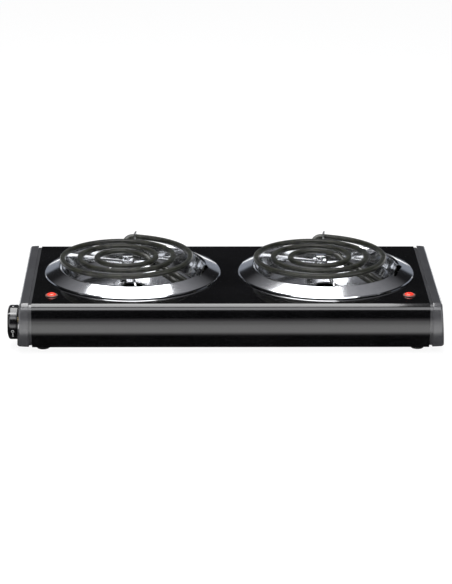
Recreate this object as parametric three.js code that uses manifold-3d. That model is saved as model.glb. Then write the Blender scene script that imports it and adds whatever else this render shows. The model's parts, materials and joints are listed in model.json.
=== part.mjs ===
// Twin coil hot plate: a bent sheet housing between two moulded end caps, two chrome drip pans,
// two sheathed coil elements that tilt up on their terminal blocks, and one thermostat dial.
// Millimetres, +X right, +Y back, +Z up. The feet stand on Z = 0.
import * as THREE from "three";
import { mergeVertices } from "three/addons/utils/BufferGeometryUtils.js";
import Module from "manifold-3d";

const wasm = await Module();
wasm.setup();

// ---- driving sizes -------------------------------------------------------------------------
const GAP = 0.3; // between pieces that touch

const HOUSING = {
  length: 468, // bent sheet, between the end caps
  top: 61, // height of the flat top
  flatDepth: 228, // flat top, front to back
  bulge: 12, // how far the front and back swell past the flat top
  bulgeHeight: 30, // height of the fullest point
  skirt: 8, // height of the lower edge
  lowerFall: 24, // half height of the ellipse under the fullest point
  sheet: 1.2,
  hem: 32, // width of the flange turned in under the housing
};
const CAP = {
  seam: 3.5, // recessed joint beside the sheet
  thickness: 11, // at the top edge
  flare: 3, // extra thickness at the foot of the cap
  proud: 0.8, // stands past the sheet
  round: 2.5,
  wall: 2.4,
  tongue: 2, // thickness of the tongue inside the sheet
  tongueDepth: 7,
};
const BASE = { sheet: 1.2, inset: 6, slotLength: 46, slotWidth: 4, slotPitch: 14, slots: 5 };
const FOOT = { topRadius: 9.3, footRadius: 7, inset: 12, setBack: 17, bore: 2.4, headBore: 4.6 };
const SCREW = { shank: 2, head: 3.9, headHeight: 2.2, reach: 6 };
const BURNER = { spread: 117.6, back: 5.5, hole: 93 };
const PAN = {
  rim: 107,
  lip: 88,
  lipRise: 10.5,
  underLegs: 2.5, // between the coil's legs and the floor of the pan
  floorRadius: 73,
  drain: 12,
  sheet: 0.8,
  window: 23, // half width of the window for the terminals
};
const COIL = {
  tube: 7,
  height: 80.5, // centre of the tube
  outerRadius: 87.5,
  pitch: 21,
  turns: 3.07,
  start: 82, // degrees, counter-clockwise from +X
  shift: -6, // the hub sits a little off the pan's centre
  lean: -6.8, // the spiral's own centre, from the hub
  pressed: 0.7, // flattened off the top, where a pan stands
};
const CLIP = { thickness: 2.2, width: 10.5, rise: 5.6, drop: 4.6 };
const ARMS = { angles: [-83, 37, 157], thickness: 1.6, height: 6.2, past: 2.5, inside: 6, hub: 8 };
const HUB = { width: 12, depth: 10.5, height: 6.4, hole: 2 };
const PIVOT = { angle: -15, radius: 99, height: 50, legSpread: 9 };
const BLOCK = { width: 34, depth: 13, height: 11, trunnion: 2.5, trunnionLength: 4.6 };
const STAND = { sheet: 2, depth: 12, side: 1, above: 5.5 };
const LAMP = { spread: 212, forward: 85.5, bezel: 7.2, lens: 5.3, hole: 4.6, rise: 1.2 };
const DIAL = { radius: 20.5, thickness: 12.5, y: -90, z: 30, off: 1.2, nutRoom: 9.5, nutDepth: 4.6 };
const SHAFT = { radius: 3, bush: 4.5, clearance: 0.3 };
const THERMOSTAT = { length: 19, width: 32, height: 26 };
const GLAND = { x: -173, z: 30, flange: 9, neck: 6.2, bore: 3.8, proud: 2.4 };
const CONNECTOR = { x: -173, fromBack: 28, length: 34, width: 20, height: 14 };
const LEAD = { radius: 1.6 };

// ---- values that follow from them ----------------------------------------------------------
const halfLength = HOUSING.length / 2;
const halfFlat = HOUSING.flatDepth / 2;
const capInner = halfLength + CAP.seam;
const topUnder = HOUSING.top - HOUSING.sheet;
const baseTop = HOUSING.skirt - GAP;
const baseUnder = baseTop - BASE.sheet;
const standFoot = HOUSING.skirt + GAP;
const floorDrop = HOUSING.top - (PIVOT.height - COIL.tube / 2 - PAN.underLegs);
const connectorY = halfFlat - CONNECTOR.fromBack;
const capFace = (z) => {
  const fall = (HOUSING.top - z) / (HOUSING.top - HOUSING.skirt);
  return capInner + CAP.thickness + CAP.flare * fall;
};
const degrees = (a) => (a * Math.PI) / 180;

// ---- materials -----------------------------------------------------------------------------
const finish = (color, roughness, metalness) =>
  new THREE.MeshStandardMaterial({ color, roughness, metalness });
const blackEnamel = finish(0x141416, 0.15, 0);
const blackPlastic = finish(0x1a1a1b, 0.3, 0);
const chrome = finish(0xd6d9dc, 0.12, 1);
const sheath = finish(0x2b2c29, 0.5, 0.6);
const zincSteel = finish(0x9c9ea0, 0.4, 0.9);
const rubber = finish(0x161616, 0.85, 0);
const steatite = finish(0xe6dfcf, 0.6, 0);
const redLens = finish(0xc01810, 0.2, 0);
const paleNylon = finish(0xd8d2c6, 0.5, 0);
const phenolic = finish(0x2a1d18, 0.5, 0);
const brass = finish(0xb8973f, 0.35, 1);
const sleeving = finish(0xd9d4c8, 0.8, 0);

// ---- solids --------------------------------------------------------------------------------
// A three.js geometry as a manifold solid, turned to face outwards.
function solid(geometry) {
  const bare = geometry.index ? geometry.toNonIndexed() : geometry.clone();
  bare.deleteAttribute("normal");
  bare.deleteAttribute("uv");
  const merged = mergeVertices(bare, 1e-4);
  const index = merged.index.array;
  const kept = [];
  for (let i = 0; i < index.length; i += 3) {
    const [a, b, c] = [index[i], index[i + 1], index[i + 2]];
    if (a !== b && b !== c && c !== a) kept.push(a, b, c);
  }
  const vertProperties = merged.attributes.position.array;
  const build = (list) => {
    const triVerts = new Uint32Array(list);
    return new wasm.Manifold(new wasm.Mesh({ numProp: 3, vertProperties, triVerts }));
  };
  const made = build(kept);
  return made.volume() > 0 ? made : build(kept.reverse());
}

function geometryOf(made) {
  const { vertProperties, triVerts } = made.getMesh();
  const geometry = new THREE.BufferGeometry();
  geometry.setAttribute("position", new THREE.BufferAttribute(new Float32Array(vertProperties), 3));
  geometry.setIndex(new THREE.BufferAttribute(new Uint32Array(triVerts), 1));
  geometry.computeVertexNormals();
  return geometry;
}

function piece(name, made, material) {
  const mesh = new THREE.Mesh(geometryOf(made), material);
  mesh.name = name;
  return mesh;
}

const joined = (...parts) => parts.reduce((a, b) => a.add(b));
const cut = (whole, ...tools) => tools.reduce((a, b) => a.subtract(b), whole);

// A box from its lowest and highest corners.
function box(low, high) {
  const size = high.map((v, i) => v - low[i]);
  const middle = high.map((v, i) => (v + low[i]) / 2);
  return solid(new THREE.BoxGeometry(...size).translate(...middle));
}

// A solid of revolution about +Z from [radius, height] points, closed by its last point.
function turned(points, segments = 48) {
  const profile = [...points, points[0]].map(([r, z]) => new THREE.Vector2(r, z));
  return solid(new THREE.LatheGeometry(profile, segments).rotateX(Math.PI / 2));
}

const rod = (radius, low, high, segments = 16) =>
  turned([[0, low], [radius, low], [radius, high], [0, high]], segments);

// A (y, z) outline drawn out along X.
function alongX(points, from, to, options = {}) {
  const shape = new THREE.Shape(points.map(([y, z]) => new THREE.Vector2(y, z)));
  const settings = { depth: to - from, bevelEnabled: false, ...options };
  const axes = new THREE.Matrix4().makeBasis(
    new THREE.Vector3(0, 1, 0),
    new THREE.Vector3(0, 0, 1),
    new THREE.Vector3(1, 0, 0),
  );
  return new THREE.ExtrudeGeometry(shape, settings).applyMatrix4(axes).translate(from, 0, 0);
}

// A round tube along a smooth curve through points.
function tube(points, radius, steps, sides) {
  const path = new THREE.CatmullRomCurve3(points.map((p) => new THREE.Vector3(...p)));
  path.arcLengthDivisions = 12 * steps;
  const section = new THREE.Shape();
  for (let i = 0; i < sides; i++) {
    const a = (i * 2 * Math.PI) / sides;
    const [x, y] = [radius * Math.cos(a), radius * Math.sin(a)];
    if (i === 0) section.moveTo(x, y);
    else section.lineTo(x, y);
  }
  return solid(new THREE.ExtrudeGeometry(section, { steps, extrudePath: path }));
}

// An open run of points moved to its left by a distance.
function offsetRun(points, distance) {
  return points.map(([x, y], i) => {
    const before = points[Math.max(i - 1, 0)];
    const after = points[Math.min(i + 1, points.length - 1)];
    const inLeg = [x - before[0], y - before[1]];
    const outLeg = [after[0] - x, after[1] - y];
    const unit = ([a, b]) => {
      const length = Math.hypot(a, b);
      return length ? [a / length, b / length] : null;
    };
    const first = unit(inLeg) ?? unit(outLeg);
    const second = unit(outLeg) ?? unit(inLeg);
    const sum = [first[0] + second[0], first[1] + second[1]];
    const length = Math.hypot(...sum);
    const along = [sum[0] / length, sum[1] / length];
    const mitre = distance / (along[0] * first[0] + along[1] * first[1]);
    return [x - along[1] * mitre, y + along[0] * mitre];
  });
}

// ---- housing -------------------------------------------------------------------------------
// Outer line of the housing section as (y, z), from the front lower edge over to the back.
function housingLine(lowEdge = HOUSING.skirt) {
  const { top, bulge, bulgeHeight, lowerFall } = HOUSING;
  const front = [];
  const lowest = Math.asin((lowEdge - bulgeHeight) / lowerFall);
  for (let i = 0; i <= 6; i++) {
    const a = lowest * (1 - i / 6);
    front.push([-halfFlat - bulge * Math.cos(a), bulgeHeight + lowerFall * Math.sin(a)]);
  }
  for (let i = 1; i <= 10; i++) {
    const a = (i / 10) * (Math.PI / 2);
    const rise = top - bulgeHeight;
    front.push([-halfFlat - bulge * Math.cos(a), bulgeHeight + rise * Math.sin(a)]);
  }
  const back = front.map(([y, z]) => [-y, z]).reverse();
  return [...front, ...back];
}

const upTo = (line, z) => line.filter((p) => p[1] > z);

function footPlaces() {
  const x = halfLength - FOOT.inset;
  const y = halfFlat - FOOT.setBack;
  return [
    ["front_left", -x, -y],
    ["front_right", x, -y],
    ["rear_left", -x, y],
    ["rear_right", x, y],
  ];
}

function bodyShell() {
  const outer = housingLine();
  const inner = offsetRun(outer, -HOUSING.sheet);
  const wall = [...outer, ...inner.reverse()];
  const parts = [solid(alongX(wall, -halfLength, halfLength))];
  const edge = -outer[0][0] - HOUSING.sheet / 2;
  for (const side of [-1, 1]) {
    const ys = [side * edge, side * (edge - HOUSING.hem)].sort((a, b) => a - b);
    const low = [-halfLength, ys[0], HOUSING.skirt];
    parts.push(box(low, [halfLength, ys[1], HOUSING.skirt + HOUSING.sheet]));
  }
  const tools = [];
  for (const side of [-1, 1]) {
    const well = rod(BURNER.hole, topUnder - 1, HOUSING.top + 1, 48);
    tools.push(well.translate(side * BURNER.spread, BURNER.back, 0));
    const lampHole = rod(LAMP.hole, topUnder - 1, HOUSING.top + 1, 20);
    tools.push(lampHole.translate(side * LAMP.spread, -LAMP.forward, 0));
  }
  for (const [, x, y] of footPlaces()) {
    const hole = rod(FOOT.bore, HOUSING.skirt - 1, HOUSING.skirt + HOUSING.sheet + 1, 16);
    tools.push(hole.translate(x, y, 0));
  }
  const cordHole = rod(GLAND.neck + GAP, halfFlat, halfFlat + 2 * HOUSING.bulge, 24);
  tools.push(cordHole.rotate(-90, 0, 0).translate(GLAND.x, 0, GLAND.z));
  return cut(joined(...parts), ...tools);
}

// The right end cap. The left one is its mirror image with the hole for the thermostat.
function endCap() {
  const line = housingLine();
  const outside = offsetRun(housingLine(HOUSING.skirt + CAP.round), CAP.proud - CAP.round);
  const plate = alongX(outside, 0, CAP.thickness - CAP.round, {
    bevelEnabled: true,
    bevelSize: CAP.round,
    bevelThickness: CAP.round,
    bevelSegments: 3,
  });
  const inside = offsetRun(line, CAP.proud - CAP.wall);
  const lowered = upTo(inside, HOUSING.skirt + CAP.wall);
  const pocket = alongX(lowered, -2 * CAP.round, CAP.thickness - CAP.wall);
  const half = cut(
    solid(plate),
    box([-50, -300, -50], [0, 300, 150]),
    solid(pocket),
  );
  const flared = half.warp((v) => {
    const fall = (HOUSING.top - v[2]) / (HOUSING.top - HOUSING.skirt);
    v[0] = capInner + v[0] * (1 + (CAP.flare / CAP.thickness) * fall);
  });
  const above = HOUSING.skirt + HOUSING.sheet + 2 * GAP;
  const tongueTop = upTo(offsetRun(line, -HOUSING.sheet - GAP), above);
  const tongueUnder = upTo(offsetRun(line, -HOUSING.sheet - GAP - CAP.tongue), above);
  const arch = [...tongueTop, ...tongueUnder.reverse()];
  const tongue = alongX(arch, halfLength - CAP.tongueDepth, capInner + 1);
  return joined(flared, solid(tongue));
}

function leftCap() {
  const face = capFace(DIAL.z);
  const hole = rod(SHAFT.bush + GAP, -face - 5, -capInner, 24);
  const through = hole.rotate(0, 90, 0).translate(0, DIAL.y, DIAL.z);
  return cut(endCap().mirror([1, 0, 0]), through);
}

function basePlate() {
  const x = halfLength - BASE.inset / 3;
  const y = halfFlat - BASE.inset;
  const tools = footPlaces().map(([, fx, fy]) =>
    rod(FOOT.bore, baseUnder - 1, baseTop + 1, 16).translate(fx, fy, 0),
  );
  for (const side of [-1, 1])
    for (let i = 0; i < BASE.slots; i++) {
      const sx = side * BURNER.spread + (i - (BASE.slots - 1) / 2) * BASE.slotPitch;
      const w = BASE.slotWidth / 2;
      const l = BASE.slotLength / 2;
      for (const sy of [-BASE.slotLength * 0.75, BASE.slotLength * 0.75])
        tools.push(box([sx - w, sy - l, baseUnder - 1], [sx + w, sy + l, baseTop + 1]));
    }
  for (const side of [-1, 1]) {
    const [px, py] = standPlace(side);
    tools.push(rod(SCREW.shank + GAP, baseUnder - 1, baseTop + 1, 16).translate(px, py, 0));
  }
  return cut(box([-x, -y, baseUnder], [x, y, baseTop]), ...tools);
}

function foot() {
  const top = baseUnder - GAP;
  return turned(
    [
      [FOOT.bore, top],
      [FOOT.bore, 3.2],
      [FOOT.headBore, 3.2],
      [FOOT.headBore, 0],
      [FOOT.footRadius, 0],
      [FOOT.footRadius + 0.9, 1],
      [FOOT.topRadius, top],
    ],
    18,
  );
}

function screw(seat, tip) {
  const head = seat - SCREW.headHeight;
  return turned(
    [
      [0, head],
      [SCREW.head * 0.8, head],
      [SCREW.head, head + 0.7],
      [SCREW.head, seat],
      [SCREW.shank, seat],
      [SCREW.shank, tip - 1],
      [0, tip],
    ],
    10,
  );
}

// ---- drip pans -----------------------------------------------------------------------------
function dripPan() {
  const { rim, lip, lipRise, floorRadius, drain, sheet } = PAN;
  const edge = sheet + GAP;
  const skin = [
    [rim, edge - 0.1],
    [rim - 1.3, edge + 1.3],
    [lip + 1.4, lipRise - 0.6],
    [lip, lipRise],
    [lip - 1.6, lipRise - 1.4],
    [lip - 6, -6],
    [lip - 9, -floorDrop + 4],
    [floorRadius, -floorDrop],
    [drain, -floorDrop],
  ];
  const wall = [...skin, ...offsetRun(skin, sheet).reverse()];
  const pan = turned(wall, 44).translate(0, 0, HOUSING.top);
  const legs = PIVOT.height - COIL.tube / 2;
  const window = box(
    [floorRadius - 1, -PAN.window, legs - 1.6],
    [lip + 3, PAN.window, HOUSING.top + 3],
  );
  return cut(pan, window.rotate(0, 0, PIVOT.angle));
}

// ---- coil elements -------------------------------------------------------------------------
// A point measured along the terminal direction, across it, and up.
function atTerminal(radius, across, z) {
  const a = degrees(PIVOT.angle);
  const [c, s] = [Math.cos(a), Math.sin(a)];
  return [radius * c - across * s, radius * s + across * c, z];
}

function onSpiral(turn, z = COIL.height) {
  const a = degrees(COIL.start - 360 * turn);
  const r = COIL.outerRadius - COIL.pitch * turn;
  return [COIL.shift + COIL.lean + r * Math.cos(a), r * Math.sin(a), z];
}

// A point near the spiral: at a turn, moved outwards by a distance, at a height under the coil.
function nearSpiral(turn, outwards, drop) {
  const a = degrees(COIL.start - 360 * turn);
  const r = COIL.outerRadius - COIL.pitch * turn + outwards;
  return [COIL.shift + COIL.lean + r * Math.cos(a), r * Math.sin(a), COIL.height - drop];
}

function heatingCoil() {
  const tail = PIVOT.radius + BLOCK.depth / 2 + 3.5;
  const low = PIVOT.height;
  const climb = COIL.height - low;
  const leg = (side) => [
    atTerminal(tail, side, low),
    atTerminal(PIVOT.radius - 7, side, low),
    atTerminal(PIVOT.radius - 19, side, low),
    atTerminal(PIVOT.radius - 33, side, low + climb * 0.07),
    atTerminal(PIVOT.radius - 45, side, low + climb * 0.27),
  ];
  const outer = leg(PIVOT.legSpread);
  outer.push([40, 5, low + climb * 0.44]);
  outer.push([29, 20, COIL.height - 15]);
  outer.push([12, 39, COIL.height - 14.5]);
  outer.push([-4, 57, COIL.height - 13.8]);
  outer.push(nearSpiral(-0.016, -18.7, 11.5));
  outer.push(nearSpiral(-0.021, -11.5, 8));
  outer.push(nearSpiral(-0.018, -5.6, 4.3));
  outer.push(nearSpiral(-0.011, -1.6, 1.2));
  const spiral = [];
  const steps = Math.round(COIL.turns * 20);
  for (let i = 0; i <= steps; i++) spiral.push(onSpiral((COIL.turns * i) / steps));
  const inner = leg(-PIVOT.legSpread);
  inner.push([33.5, -10, COIL.height - 14.6]);
  inner.push([25.5, -3.5, COIL.height - 9.2]);
  inner.push([18.5, 3.5, COIL.height - 2.6]);
  inner.push([12, 9.5, COIL.height]);
  const round = tube([...outer, ...spiral, ...inner.reverse()], COIL.tube / 2, 112, 8);
  const pressed = COIL.height + COIL.tube / 2 - COIL.pressed;
  return cut(round, box([-PAN.rim, -PAN.rim, pressed], [PAN.rim, PAN.rim, pressed + COIL.tube]));
}

// The tab at the outer end of the coil: a folded strip with the tube through it.
function endClip() {
  const half = CLIP.width / 2;
  const t = CLIP.thickness / 2;
  const blank = box([-t, -half, -CLIP.drop], [t, half, CLIP.rise]);
  const hole = rod(COIL.tube / 2 + 2 * GAP, -5, 5, 20).rotate(0, 90, 0);
  const [x, y, z] = onSpiral(0.004);
  return cut(blank, hole).rotate(0, 0, COIL.start - 90).translate(x, y, z);
}

function coilSupport() {
  const top = COIL.height - COIL.tube / 2 - GAP;
  const under = top - ARMS.height;
  const lipTop = HOUSING.top + PAN.lipRise + GAP;
  const parts = [turned([[0, under], [ARMS.hub, under], [ARMS.hub, top - 1], [0, top - 1]], 24)];
  for (const angle of ARMS.angles) {
    const shape = new THREE.Shape();
    const toLip = PAN.lip - COIL.shift * Math.cos(degrees(angle)); // from the coil's centre
    const inside = toLip - ARMS.inside;
    shape.moveTo(0, under);
    shape.lineTo(inside - 3, under);
    shape.lineTo(inside, lipTop);
    shape.lineTo(toLip + ARMS.past, lipTop);
    shape.lineTo(toLip + ARMS.past, lipTop + 1.6);
    shape.lineTo(inside, top);
    shape.lineTo(0, top);
    const settings = { depth: ARMS.thickness, bevelEnabled: false };
    const blade = new THREE.ExtrudeGeometry(shape, settings).translate(0, 0, -ARMS.thickness / 2);
    parts.push(solid(blade.rotateX(Math.PI / 2).rotateZ(degrees(angle))));
  }
  return joined(...parts).translate(COIL.shift, 0, 0);
}

function hubCap() {
  const foot = COIL.height - COIL.tube / 2;
  const blank = box(
    [-HUB.width / 2, -HUB.depth / 2, foot],
    [HUB.width / 2, HUB.depth / 2, foot + HUB.height],
  );
  const hole = rod(HUB.hole, -HUB.depth, HUB.depth, 16).rotate(90, 0, 0);
  const lowHole = hole.translate(-HUB.width / 5, 0, foot + HUB.height / 2);
  return cut(blank, lowHole).translate(COIL.shift, 0, 0);
}

// The ceramic block that grips both legs and turns on its two moulded trunnions.
function terminalBlock() {
  const half = BLOCK.width / 2;
  const body = box(
    [-BLOCK.depth / 2, -half, -BLOCK.height / 2],
    [BLOCK.depth / 2, half, BLOCK.height / 2],
  );
  const reach = half + BLOCK.trunnionLength;
  const axle = rod(BLOCK.trunnion, -reach, reach, 24).rotate(90, 0, 0);
  const bores = [-1, 1].map((side) =>
    rod(COIL.tube / 2 + 2 * GAP, -BLOCK.depth, BLOCK.depth, 20)
      .rotate(0, 90, 0)
      .translate(0, side * PIVOT.legSpread, 0),
  );
  return cut(joined(body, axle), ...bores)
    .translate(PIVOT.radius, 0, PIVOT.height)
    .rotate(0, 0, PIVOT.angle);
}

function standPlace(side) {
  const [x, y] = atTerminal(PIVOT.radius, 0, 0);
  return [side * BURNER.spread + x, BURNER.back + y];
}

// A folded U of steel on the base plate whose two ears carry the trunnions.
function hingeStand() {
  const inside = BLOCK.width / 2 + STAND.side;
  const outside = inside + STAND.sheet;
  const half = STAND.depth / 2;
  const top = PIVOT.height + STAND.above;
  const u = cut(
    box([-half, -outside, standFoot], [half, outside, top]),
    box([-half - 1, -inside, standFoot + STAND.sheet], [half + 1, inside, top + 1]),
  );
  const bearing = rod(BLOCK.trunnion + GAP, -2 * outside, 2 * outside, 24).rotate(90, 0, 0);
  const fixing = rod(SCREW.shank + GAP, 0, standFoot + 2 * STAND.sheet, 16);
  return cut(u, bearing.translate(0, 0, PIVOT.height), fixing)
    .translate(PIVOT.radius, 0, 0)
    .rotate(0, 0, PIVOT.angle);
}

// ---- indicator lamps -----------------------------------------------------------------------
function lampBezel() {
  const seat = HOUSING.top + GAP;
  return turned(
    [
      [LAMP.lens + GAP, seat],
      [LAMP.bezel, seat],
      [LAMP.bezel, seat + LAMP.rise * 0.5],
      [LAMP.bezel - 0.6, seat + LAMP.rise],
      [LAMP.lens + GAP, seat + LAMP.rise],
    ],
    24,
  );
}

function lampLens() {
  const seat = HOUSING.top + GAP;
  const stem = LAMP.hole - GAP;
  const under = topUnder - 3;
  return turned(
    [
      [0, under],
      [stem, under],
      [stem, seat],
      [LAMP.lens, seat],
      [LAMP.lens, seat + LAMP.rise],
      [LAMP.lens * 0.85, seat + LAMP.rise + 1],
      [LAMP.lens * 0.5, seat + LAMP.rise + 1.8],
      [0, seat + LAMP.rise + 2.1],
    ],
    20,
  );
}

function neonLamp() {
  const top = topUnder - 3 - GAP;
  const radius = LAMP.hole - 1.6;
  return turned([[0, top - 13], [radius, top - 13], [radius, top - 1.5], [0, top]], 16);
}

// ---- dial and thermostat -------------------------------------------------------------------
// Pieces on the dial's axis are turned about +Z with the face upwards, then laid along -X.
const onDialAxis = (made) => made.rotate(0, -90, 0).translate(0, DIAL.y, DIAL.z);
const dialBack = capFace(DIAL.z) + DIAL.off;
const shaftTip = dialBack + DIAL.thickness - 2.5;

function dial() {
  const { radius, thickness } = DIAL;
  const bore = SHAFT.radius + GAP / 2;
  const face = dialBack + thickness;
  const points = [
    [0, shaftTip + GAP],
    [bore, shaftTip + GAP],
    [bore, dialBack + DIAL.nutDepth],
    [DIAL.nutRoom, dialBack + DIAL.nutDepth],
    [DIAL.nutRoom, dialBack],
    [radius - 0.6, dialBack],
    [radius, dialBack + 0.6],
  ];
  const round = 3.2;
  for (let i = 0; i <= 4; i++) {
    const a = (i / 4) * (Math.PI / 2);
    const r = radius - round * (1 - Math.cos(a)) - 0.1 * i;
    points.push([r, face - 1 - round + round * Math.sin(a)]);
  }
  points.push([radius * 0.5, face - 0.2], [0, face]);
  return onDialAxis(turned(points, 36));
}

function thermostatShaft() {
  const inner = capInner - THERMOSTAT.length / 2;
  return onDialAxis(rod(SHAFT.radius, inner, shaftTip, 24));
}

function thermostatBody() {
  const back = capInner - 1 - THERMOSTAT.length;
  const { width, height } = THERMOSTAT;
  const low = [-height / 2, -width / 2, back];
  const can = box(low, [height / 2, width / 2, capInner - 1]);
  const bush = rod(SHAFT.bush, capInner - 2, dialBack + DIAL.nutDepth - 1, 24);
  const bore = rod(SHAFT.radius + SHAFT.clearance, capInner - 13, dialBack + 20, 24);
  return onDialAxis(cut(joined(can, bush), bore));
}

function bushNut() {
  const seat = capFace(DIAL.z - 8) + GAP;
  const nut = solid(new THREE.CylinderGeometry(8, 8, 2.4, 6).rotateX(Math.PI / 2));
  const bore = rod(SHAFT.bush + GAP, -5, 5, 24);
  return onDialAxis(cut(nut, bore).translate(0, 0, seat + 1.2));
}

// ---- supply side ---------------------------------------------------------------------------
function cordGland() {
  const wall = halfFlat + HOUSING.bulge;
  const { flange, neck, bore, proud } = GLAND;
  const made = turned(
    [
      [bore, wall - 12],
      [neck, wall - 12],
      [neck, wall + GAP],
      [flange, wall + GAP],
      [flange - 0.8, wall + proud],
      [bore, wall + proud],
    ],
    24,
  );
  return made.rotate(-90, 0, 0).translate(GLAND.x, 0, GLAND.z);
}

function supplyConnector() {
  const { x, length, width, height } = CONNECTOR;
  const y = connectorY;
  const low = [x - length / 2, y - width / 2, standFoot + HOUSING.sheet];
  const block = box(low, [x + length / 2, y + width / 2, low[2] + height]);
  const tools = [-1, 0, 1].map((i) =>
    rod(2.4, low[2] + height - 4, low[2] + height + 1, 16).translate(x + i * length * 0.31, y, 0),
  );
  return cut(block, ...tools);
}

// Lead ends stand just off the legs, which move when the coil tilts.
function leads() {
  const legEnd = PIVOT.radius + BLOCK.depth / 2 + 5;
  const end = (side, across) => {
    const [x, y] = atTerminal(legEnd, across, 0);
    return [side * BURNER.spread + x, BURNER.back + y, PIVOT.height];
  };
  const stat = -(capInner - 1 - THERMOSTAT.length) + 4 * GAP;
  const near = CONNECTOR.x + CONNECTOR.length / 2 + 3 * GAP;
  const far = CONNECTOR.x - CONNECTOR.length / 2 + 6;
  const face = connectorY - CONNECTOR.width / 2 - 3 * GAP;
  const [lf, lr] = [end(-1, -PIVOT.legSpread), end(-1, PIVOT.legSpread)];
  const [rf, rr] = [end(1, -PIVOT.legSpread), end(1, PIVOT.legSpread)];
  const routes = {
    left_live_lead: [
      lf, [lf[0] + 7, lf[1] - 2, 47], [lf[0] + 12, lf[1] - 7, 32], [-8, -52, 17],
      [-80, -68, 14], [-160, -82, 15], [-196, -87, 23], [stat + 5, -87, 29.5], [stat, -87, 30],
    ],
    left_neutral_lead: [
      lr, [lr[0] + 7, lr[1], 47], [lr[0] + 12, lr[1] + 8, 32], [0, 20, 17],
      [-60, 58, 14], [-125, connectorY - 8, 14], [near + 6, connectorY - 4, 16.5],
      [near, connectorY - 4, 17],
    ],
    right_live_lead: [
      rf, [rf[0] + 6, rf[1] - 2, 47], [rf[0] + 8, rf[1] - 10, 30], [218, -56, 17],
      [150, -76, 14], [0, -84, 13], [-110, -92, 13.5], [-190, -98, 19], [stat + 5, -98, 24.5],
      [stat, -98, 25],
    ],
    right_neutral_lead: [
      rr, [rr[0] + 6, rr[1] + 2, 47], [rr[0] + 6, rr[1] + 12, 30], [222, 24, 17],
      [150, 66, 14], [0, 84, 13.5], [-100, connectorY + 6, 14],
      [near + 6, connectorY + 5, 16.5], [near, connectorY + 5, 17],
    ],
    supply_live_lead: [
      [stat, -81, 36], [stat + 5, -80.5, 36], [-201, -66, 31], [-198, -20, 20], [-190, 40, 15],
      [far, face - 8, 15.5], [far, face, 16],
    ],
  };
  return Object.entries(routes).map(([name, points]) =>
    piece(name, tube(points, LEAD.radius, 26, 6), sleeving),
  );
}

// ---- assembly ------------------------------------------------------------------------------
const model = new THREE.Group();

model.add(piece("body_shell", bodyShell(), blackEnamel));
model.add(piece("left_end_cap", leftCap(), blackPlastic));
model.add(piece("right_end_cap", endCap(), blackPlastic));
model.add(piece("base_plate", basePlate(), zincSteel));
for (const [place, x, y] of footPlaces()) {
  const rubberFoot = piece("foot_" + place, foot(), rubber);
  rubberFoot.position.set(x, y, 0);
  const tip = HOUSING.skirt + HOUSING.sheet + SCREW.reach;
  const fixing = piece("foot_screw_" + place, screw(3.2 - GAP, tip), zincSteel);
  fixing.position.set(x, y, 0);
  model.add(rubberFoot, fixing);
}

for (const [place, side] of [["left", -1], ["right", 1]]) {
  const burner = new THREE.Group();
  burner.position.set(side * BURNER.spread, BURNER.back, 0);
  burner.add(
    piece(place + "_drip_pan", dripPan(), chrome),
    piece(place + "_heating_coil", heatingCoil(), sheath),
    piece(place + "_coil_end_clip", endClip(), zincSteel),
    piece(place + "_coil_support", coilSupport(), chrome),
    piece(place + "_hub_cap", hubCap(), chrome),
    piece(place + "_terminal_block", terminalBlock(), steatite),
    piece(place + "_hinge_stand", hingeStand(), zincSteel),
  );
  const [sx, sy] = standPlace(side);
  const fixing = piece(
    place + "_stand_screw",
    screw(baseUnder - GAP, standFoot + STAND.sheet + 3),
    zincSteel,
  );
  fixing.position.set(sx, sy, 0);
  const lamp = new THREE.Group();
  lamp.position.set(side * LAMP.spread, -LAMP.forward, 0);
  lamp.add(
    piece(place + "_lamp_bezel", lampBezel(), paleNylon),
    piece(place + "_lamp_lens", lampLens(), redLens),
    piece(place + "_neon_lamp", neonLamp(), paleNylon),
  );
  model.add(burner, fixing, lamp);
}

model.add(
  piece("dial", dial(), blackPlastic),
  piece("thermostat_shaft", thermostatShaft(), brass),
  piece("thermostat_body", thermostatBody(), phenolic),
  piece("bush_nut", bushNut(), brass),
  piece("cord_gland", cordGland(), blackPlastic),
  piece("supply_connector", supplyConnector(), steatite),
  ...leads(),
);

// The origin is under the middle of the whole object: the dial and the gland stand past the body.
const middle = new THREE.Box3().setFromObject(model).getCenter(new THREE.Vector3());
model.position.set(-middle.x, -middle.y, 0);

export default model;
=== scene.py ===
"""Finished surfaces of a two-ring coil hot plate, built around the shared frame.

Lengths are in metres, +X right, +Y back, +Z up. Places come from the frame's own nodes and joints.
"""

import json
import logging
import math
from dataclasses import dataclass, field
from enum import Enum
from functools import cache, reduce
from typing import Sequence

import bmesh
import bpy
from mathutils import Matrix, Vector


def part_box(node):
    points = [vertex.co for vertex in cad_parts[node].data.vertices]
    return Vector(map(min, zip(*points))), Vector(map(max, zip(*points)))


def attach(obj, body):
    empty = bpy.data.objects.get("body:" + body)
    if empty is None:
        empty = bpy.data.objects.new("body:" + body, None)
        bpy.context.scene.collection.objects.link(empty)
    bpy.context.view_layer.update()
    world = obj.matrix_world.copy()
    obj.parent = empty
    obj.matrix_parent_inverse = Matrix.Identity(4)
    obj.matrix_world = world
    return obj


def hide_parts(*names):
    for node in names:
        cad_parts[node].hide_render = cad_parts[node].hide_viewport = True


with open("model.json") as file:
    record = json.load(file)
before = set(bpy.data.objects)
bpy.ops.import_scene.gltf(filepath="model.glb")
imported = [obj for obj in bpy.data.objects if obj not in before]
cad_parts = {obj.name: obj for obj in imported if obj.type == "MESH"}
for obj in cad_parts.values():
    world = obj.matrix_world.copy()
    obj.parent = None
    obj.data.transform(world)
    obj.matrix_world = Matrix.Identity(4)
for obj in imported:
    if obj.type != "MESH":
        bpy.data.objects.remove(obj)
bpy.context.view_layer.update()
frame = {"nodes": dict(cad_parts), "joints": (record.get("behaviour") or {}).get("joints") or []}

MM = 0.001
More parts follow.
